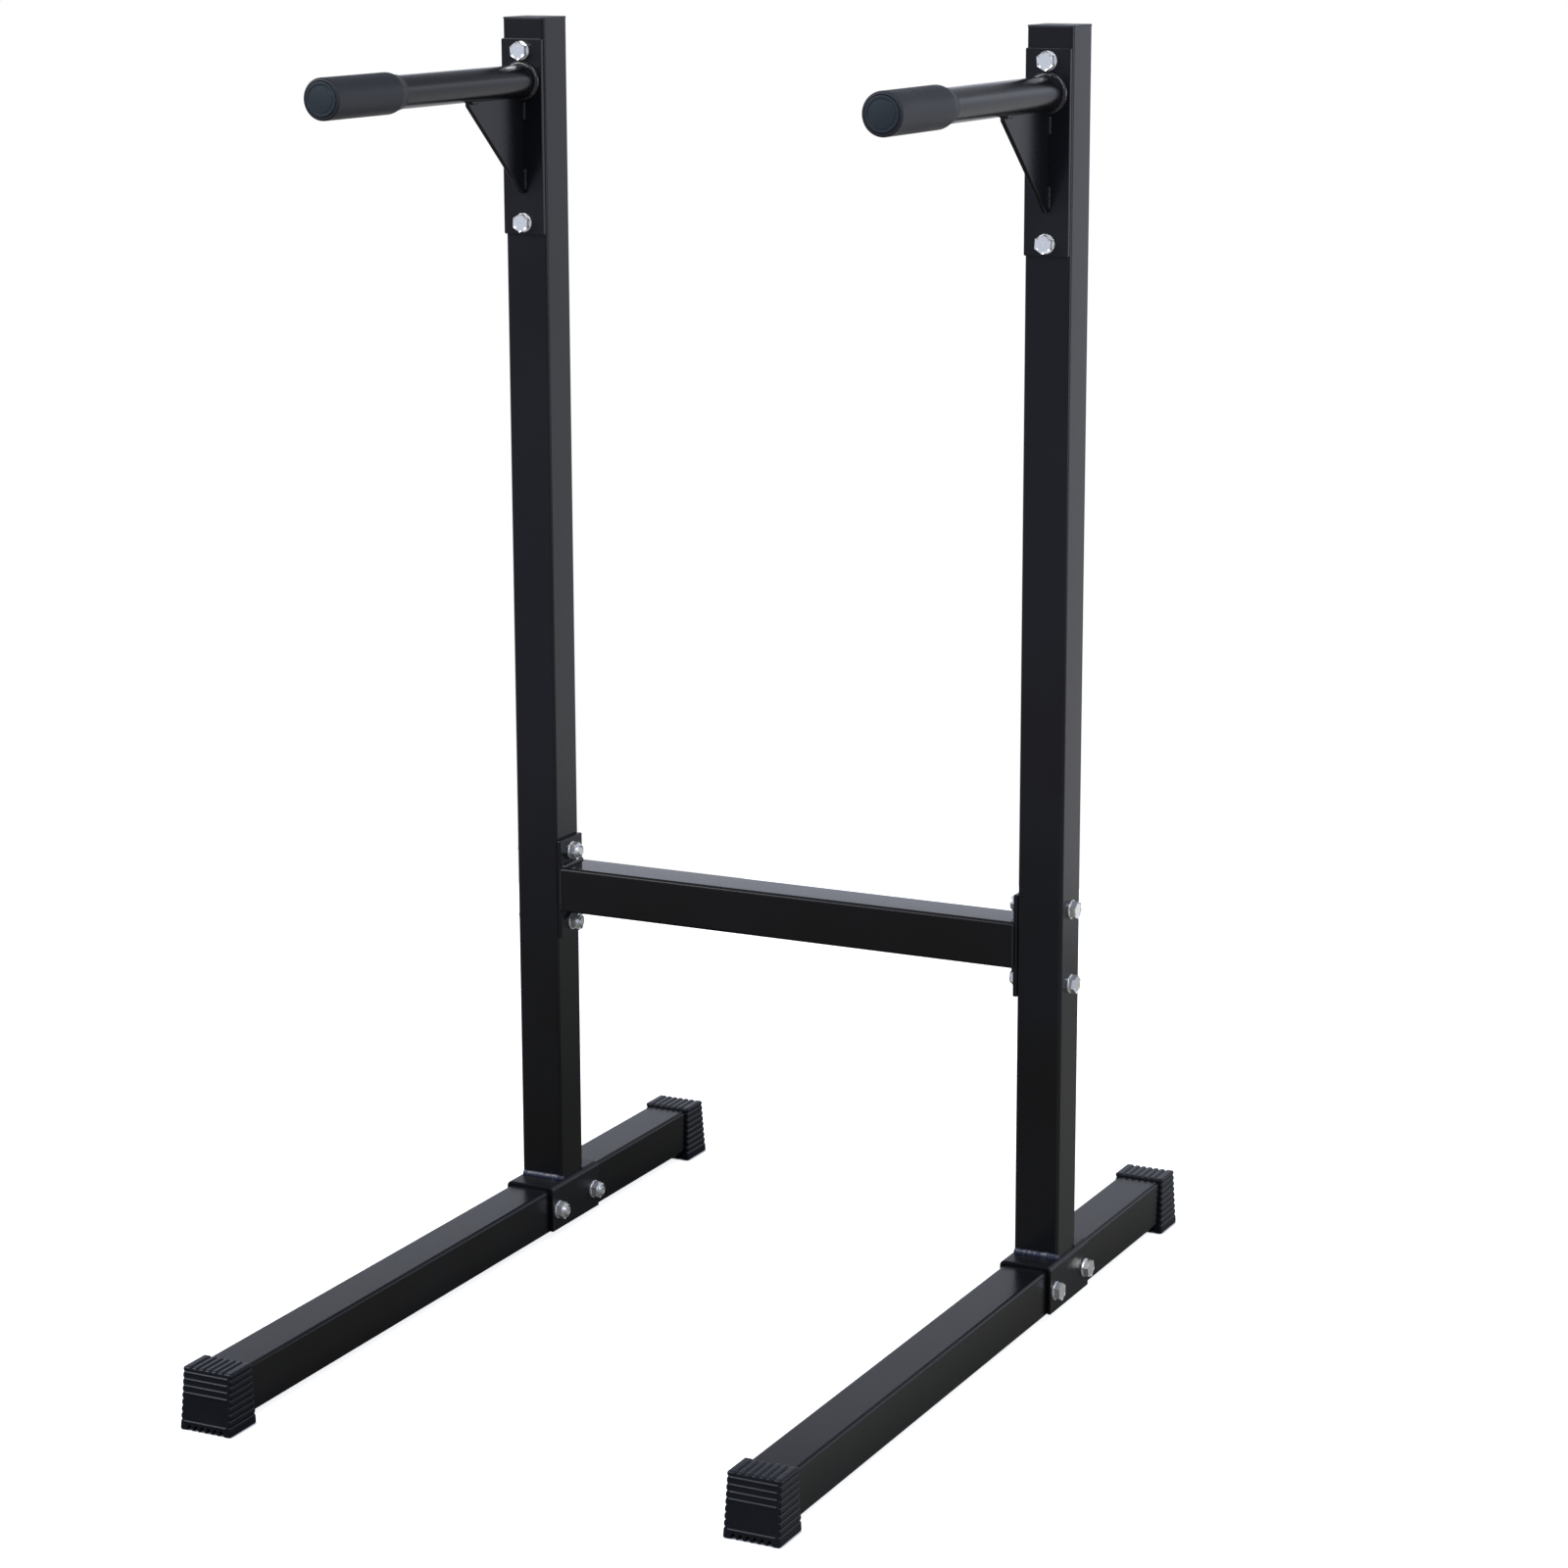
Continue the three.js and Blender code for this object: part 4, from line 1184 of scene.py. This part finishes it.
# Lamp, where it stands, what it points at, its width and height, and its brightness setting.
LAMPS = (
    ("Key Lamp", (-2.0, -1.9, 2.6), (0, -0.1, 0.3), 2.4, 1.3, "key_level"),
    ("Side Lamp", (3.2, 0.2, 1.2), (0, 0.2, 0.5), 1.6, 1.6, "side_level"),
    ("Edge Lamp", (1.5, -1.3, 3.2), (-0.1, 0.1, 1.2), 0.4, 2.2, "edge_level"),
)
SEEN_FLOOR, SEEN_WORLD = (0.9, 0.9, 0.9, 1), (1, 1, 1, 1)
ROOM_LOW, ROOM_HIGH = (0.94, 0.91, 1.10, 1), (0.82, 0.95, 1.24, 1)
WALL_LOW, WALL_HIGH = (0.98, 0.99, 1.03, 1), (0.93, 0.98, 1.12, 1)


class DIPSTATION_OT_studio(bpy.types.Operator):
    """Set up the floor, the lamps, the world and the camera"""

    bl_idname = "dip_station.studio"
    bl_label = "Studio"

    def execute(self, context):
        scene = context.scene
        studio = scene.dip_station_studio
        self.make_floor(scene.dip_station_colours)
        self.make_world(scene, studio)
        for name, where, target, width, height, setting in LAMPS:
            self.add_lamp(scene, name, where, target, width, height, getattr(studio, setting))
        camera = bpy.data.cameras.new("Camera")
        camera.lens = studio.focal_length
        camera.sensor_width = 36.0
        camera.sensor_fit = "HORIZONTAL"
        camera.clip_end = 100.0
        stand = bpy.data.objects.new("Camera", camera)
        stand.location = studio.camera_place
        stand.rotation_euler = studio.camera_turn
        scene.collection.objects.link(stand)
        scene.camera = stand
        scene.view_settings.view_transform = "Standard"
        return {"FINISHED"}

    def make_floor(self, colours):
        """A plain floor: white to the camera, its glow fading to a painted contact shadow beside
        the stand, and a grey that grows lighter to the right.
        """
        material = bpy.data.materials.new("Studio Floor")
        tree, shader = shader_tree(material, "BSDF_PRINCIPLED")
        shader.inputs["Roughness"].default_value = 0.9
        shader.inputs["Specular IOR Level"].default_value = 0.0
        shader.inputs["Emission Color"].default_value = (1, 1, 1, 1)
        seen = add_node(tree, "LightPath", {})["Is Camera Ray"]
        where = add_node(tree, "TexCoord", {})["Object"]
        # The grey, darker towards the left, is painted shade for the stand's reflections.
        x = add_node(tree, "SeparateXYZ", {0: where})["X"]
        across = add_range(tree, x, 0.0, 0.6, 0.0, 1.0)
        grey = add_blend(tree, across, with_alpha(colours.floor_shade), with_alpha(colours.floor))
        tree.links.new(add_blend(tree, seen, grey, SEEN_FLOOR), shader.inputs["Base Color"])
        # Painted contact shadow: ambient occlusion within 6 mm fades the camera's white glow
        # beside the stand.
        near = add_node(tree, "AmbientOcclusion", {"Distance": 6 * MM}, samples=16)["AO"]
        camera_glow_less_painted_contact_shadow = add_math(tree, "MULTIPLY", add_range(tree, near, 0.35, 0.9, 0.0, 0.8), seen)
        tree.links.new(camera_glow_less_painted_contact_shadow, shader.inputs["Emission Strength"])
        bm = bmesh.new()
        bmesh.ops.create_circle(bm, cap_ends=True, segments=96, radius=1.9)
        floor = add_mesh("Floor", bm, material)

    def make_world(self, scene, studio):
        """A bright wall behind the stand and a dim room round it; the camera sees white."""
        scene.world = bpy.data.worlds.new("Studio")
        tree, background = shader_tree(scene.world, "BACKGROUND")
        direction = add_node(tree, "TexCoord", {})["Generated"]
        split = add_node(tree, "SeparateXYZ", {0: direction})
        height = split["Z"]
        rear = add_step(tree, split["Y"], 0.46, 0.64)
        upper = add_step(tree, height, -0.22, -0.06)
        wall = add_range(tree, height, -0.05, 0.22, 0.82, 1.3, True)
        for start, end, above in ((0.25, 0.3, 0.35), (0.38, 0.5, 0.75)):
            fall = add_range(tree, height, start, end, 1.0, above, True)
            wall = add_math(tree, "MULTIPLY", wall, fall)
        wall = add_math(tree, "MULTIPLY", wall, studio.rear_level)
        room_tint = add_blend(tree, upper, ROOM_LOW, ROOM_HIGH)
        wall_tint = add_blend(tree, upper, WALL_LOW, WALL_HIGH)
        tint = add_blend(tree, rear, room_tint, wall_tint)
        level = add_range(tree, rear, 0.0, 1.0, studio.front_level, wall)
        seen = add_node(tree, "LightPath", {})["Is Camera Ray"]
        level = add_range(tree, seen, 0.0, 1.0, level, 1.0)
        tree.links.new(level, background.inputs["Strength"])
        tree.links.new(add_blend(tree, seen, tint, SEEN_WORLD), background.inputs["Color"])

    def add_lamp(self, scene, name, where, target, width, height, level):
        """A soft lamp whose face has the given brightness."""
        lamp = bpy.data.lights.new(name, "AREA")
        lamp.shape = "RECTANGLE"
        lamp.size = width
        lamp.size_y = height
        lamp.energy = level * math.pi * width * height
        stand = bpy.data.objects.new(name, lamp)
        stand.location = where
        stand.rotation_euler = (Vector(target) - Vector(where)).to_track_quat("-Z", "Y").to_euler()
        stand.visible_camera = False
        scene.collection.objects.link(stand)


# ---- sidebar and run

OPERATORS = (
    DIPSTATION_OT_square_tubes,
    DIPSTATION_OT_plates,
    DIPSTATION_OT_saddles,
    DIPSTATION_OT_top_plugs,
    DIPSTATION_OT_foot_caps,
    DIPSTATION_OT_handles,
    DIPSTATION_OT_grips,
    DIPSTATION_OT_bolts,
    DIPSTATION_OT_nuts,
    DIPSTATION_OT_welds,
    DIPSTATION_OT_studio,
)
SETTINGS = (
    ("dip_station_sizes", DipStationSizes),
    ("dip_station_colours", DipStationColours),
    ("dip_station_studio", DipStationStudio),
)


class DIPSTATION_PT_sidebar(bpy.types.Panel):
    """Buttons for the pieces and the studio"""

    bl_idname = "DIPSTATION_PT_sidebar"
    bl_label = "Dip Station"
    bl_space_type = "VIEW_3D"
    bl_region_type = "UI"
    bl_category = "Dip Station"

    def draw(self, context):
        for operator in OPERATORS:
            self.layout.operator(operator.bl_idname)


def register():
    for _, group in SETTINGS:
        bpy.utils.register_class(group)
    for cls in (*OPERATORS, DIPSTATION_PT_sidebar):
        bpy.utils.register_class(cls)
    for name, group in SETTINGS:
        setattr(bpy.types.Scene, name, bpy.props.PointerProperty(type=group))


def unregister():
    for name, _ in SETTINGS:
        delattr(bpy.types.Scene, name)
    for cls in (DIPSTATION_PT_sidebar, *reversed(OPERATORS)):
        bpy.utils.unregister_class(cls)
    for _, group in SETTINGS:
        bpy.utils.unregister_class(group)


def main():
    register()
    make_finishes(bpy.context.scene.dip_station_colours)
    bpy.ops.dip_station.square_tubes()
    bpy.ops.dip_station.plates()
    bpy.ops.dip_station.saddles()
    bpy.ops.dip_station.top_plugs()
    bpy.ops.dip_station.foot_caps()
    bpy.ops.dip_station.handles()
    bpy.ops.dip_station.grips()
    bpy.ops.dip_station.bolts()
    bpy.ops.dip_station.nuts()
    bpy.ops.dip_station.welds()
    bpy.ops.dip_station.studio()


if __name__ == "__main__":
    main()
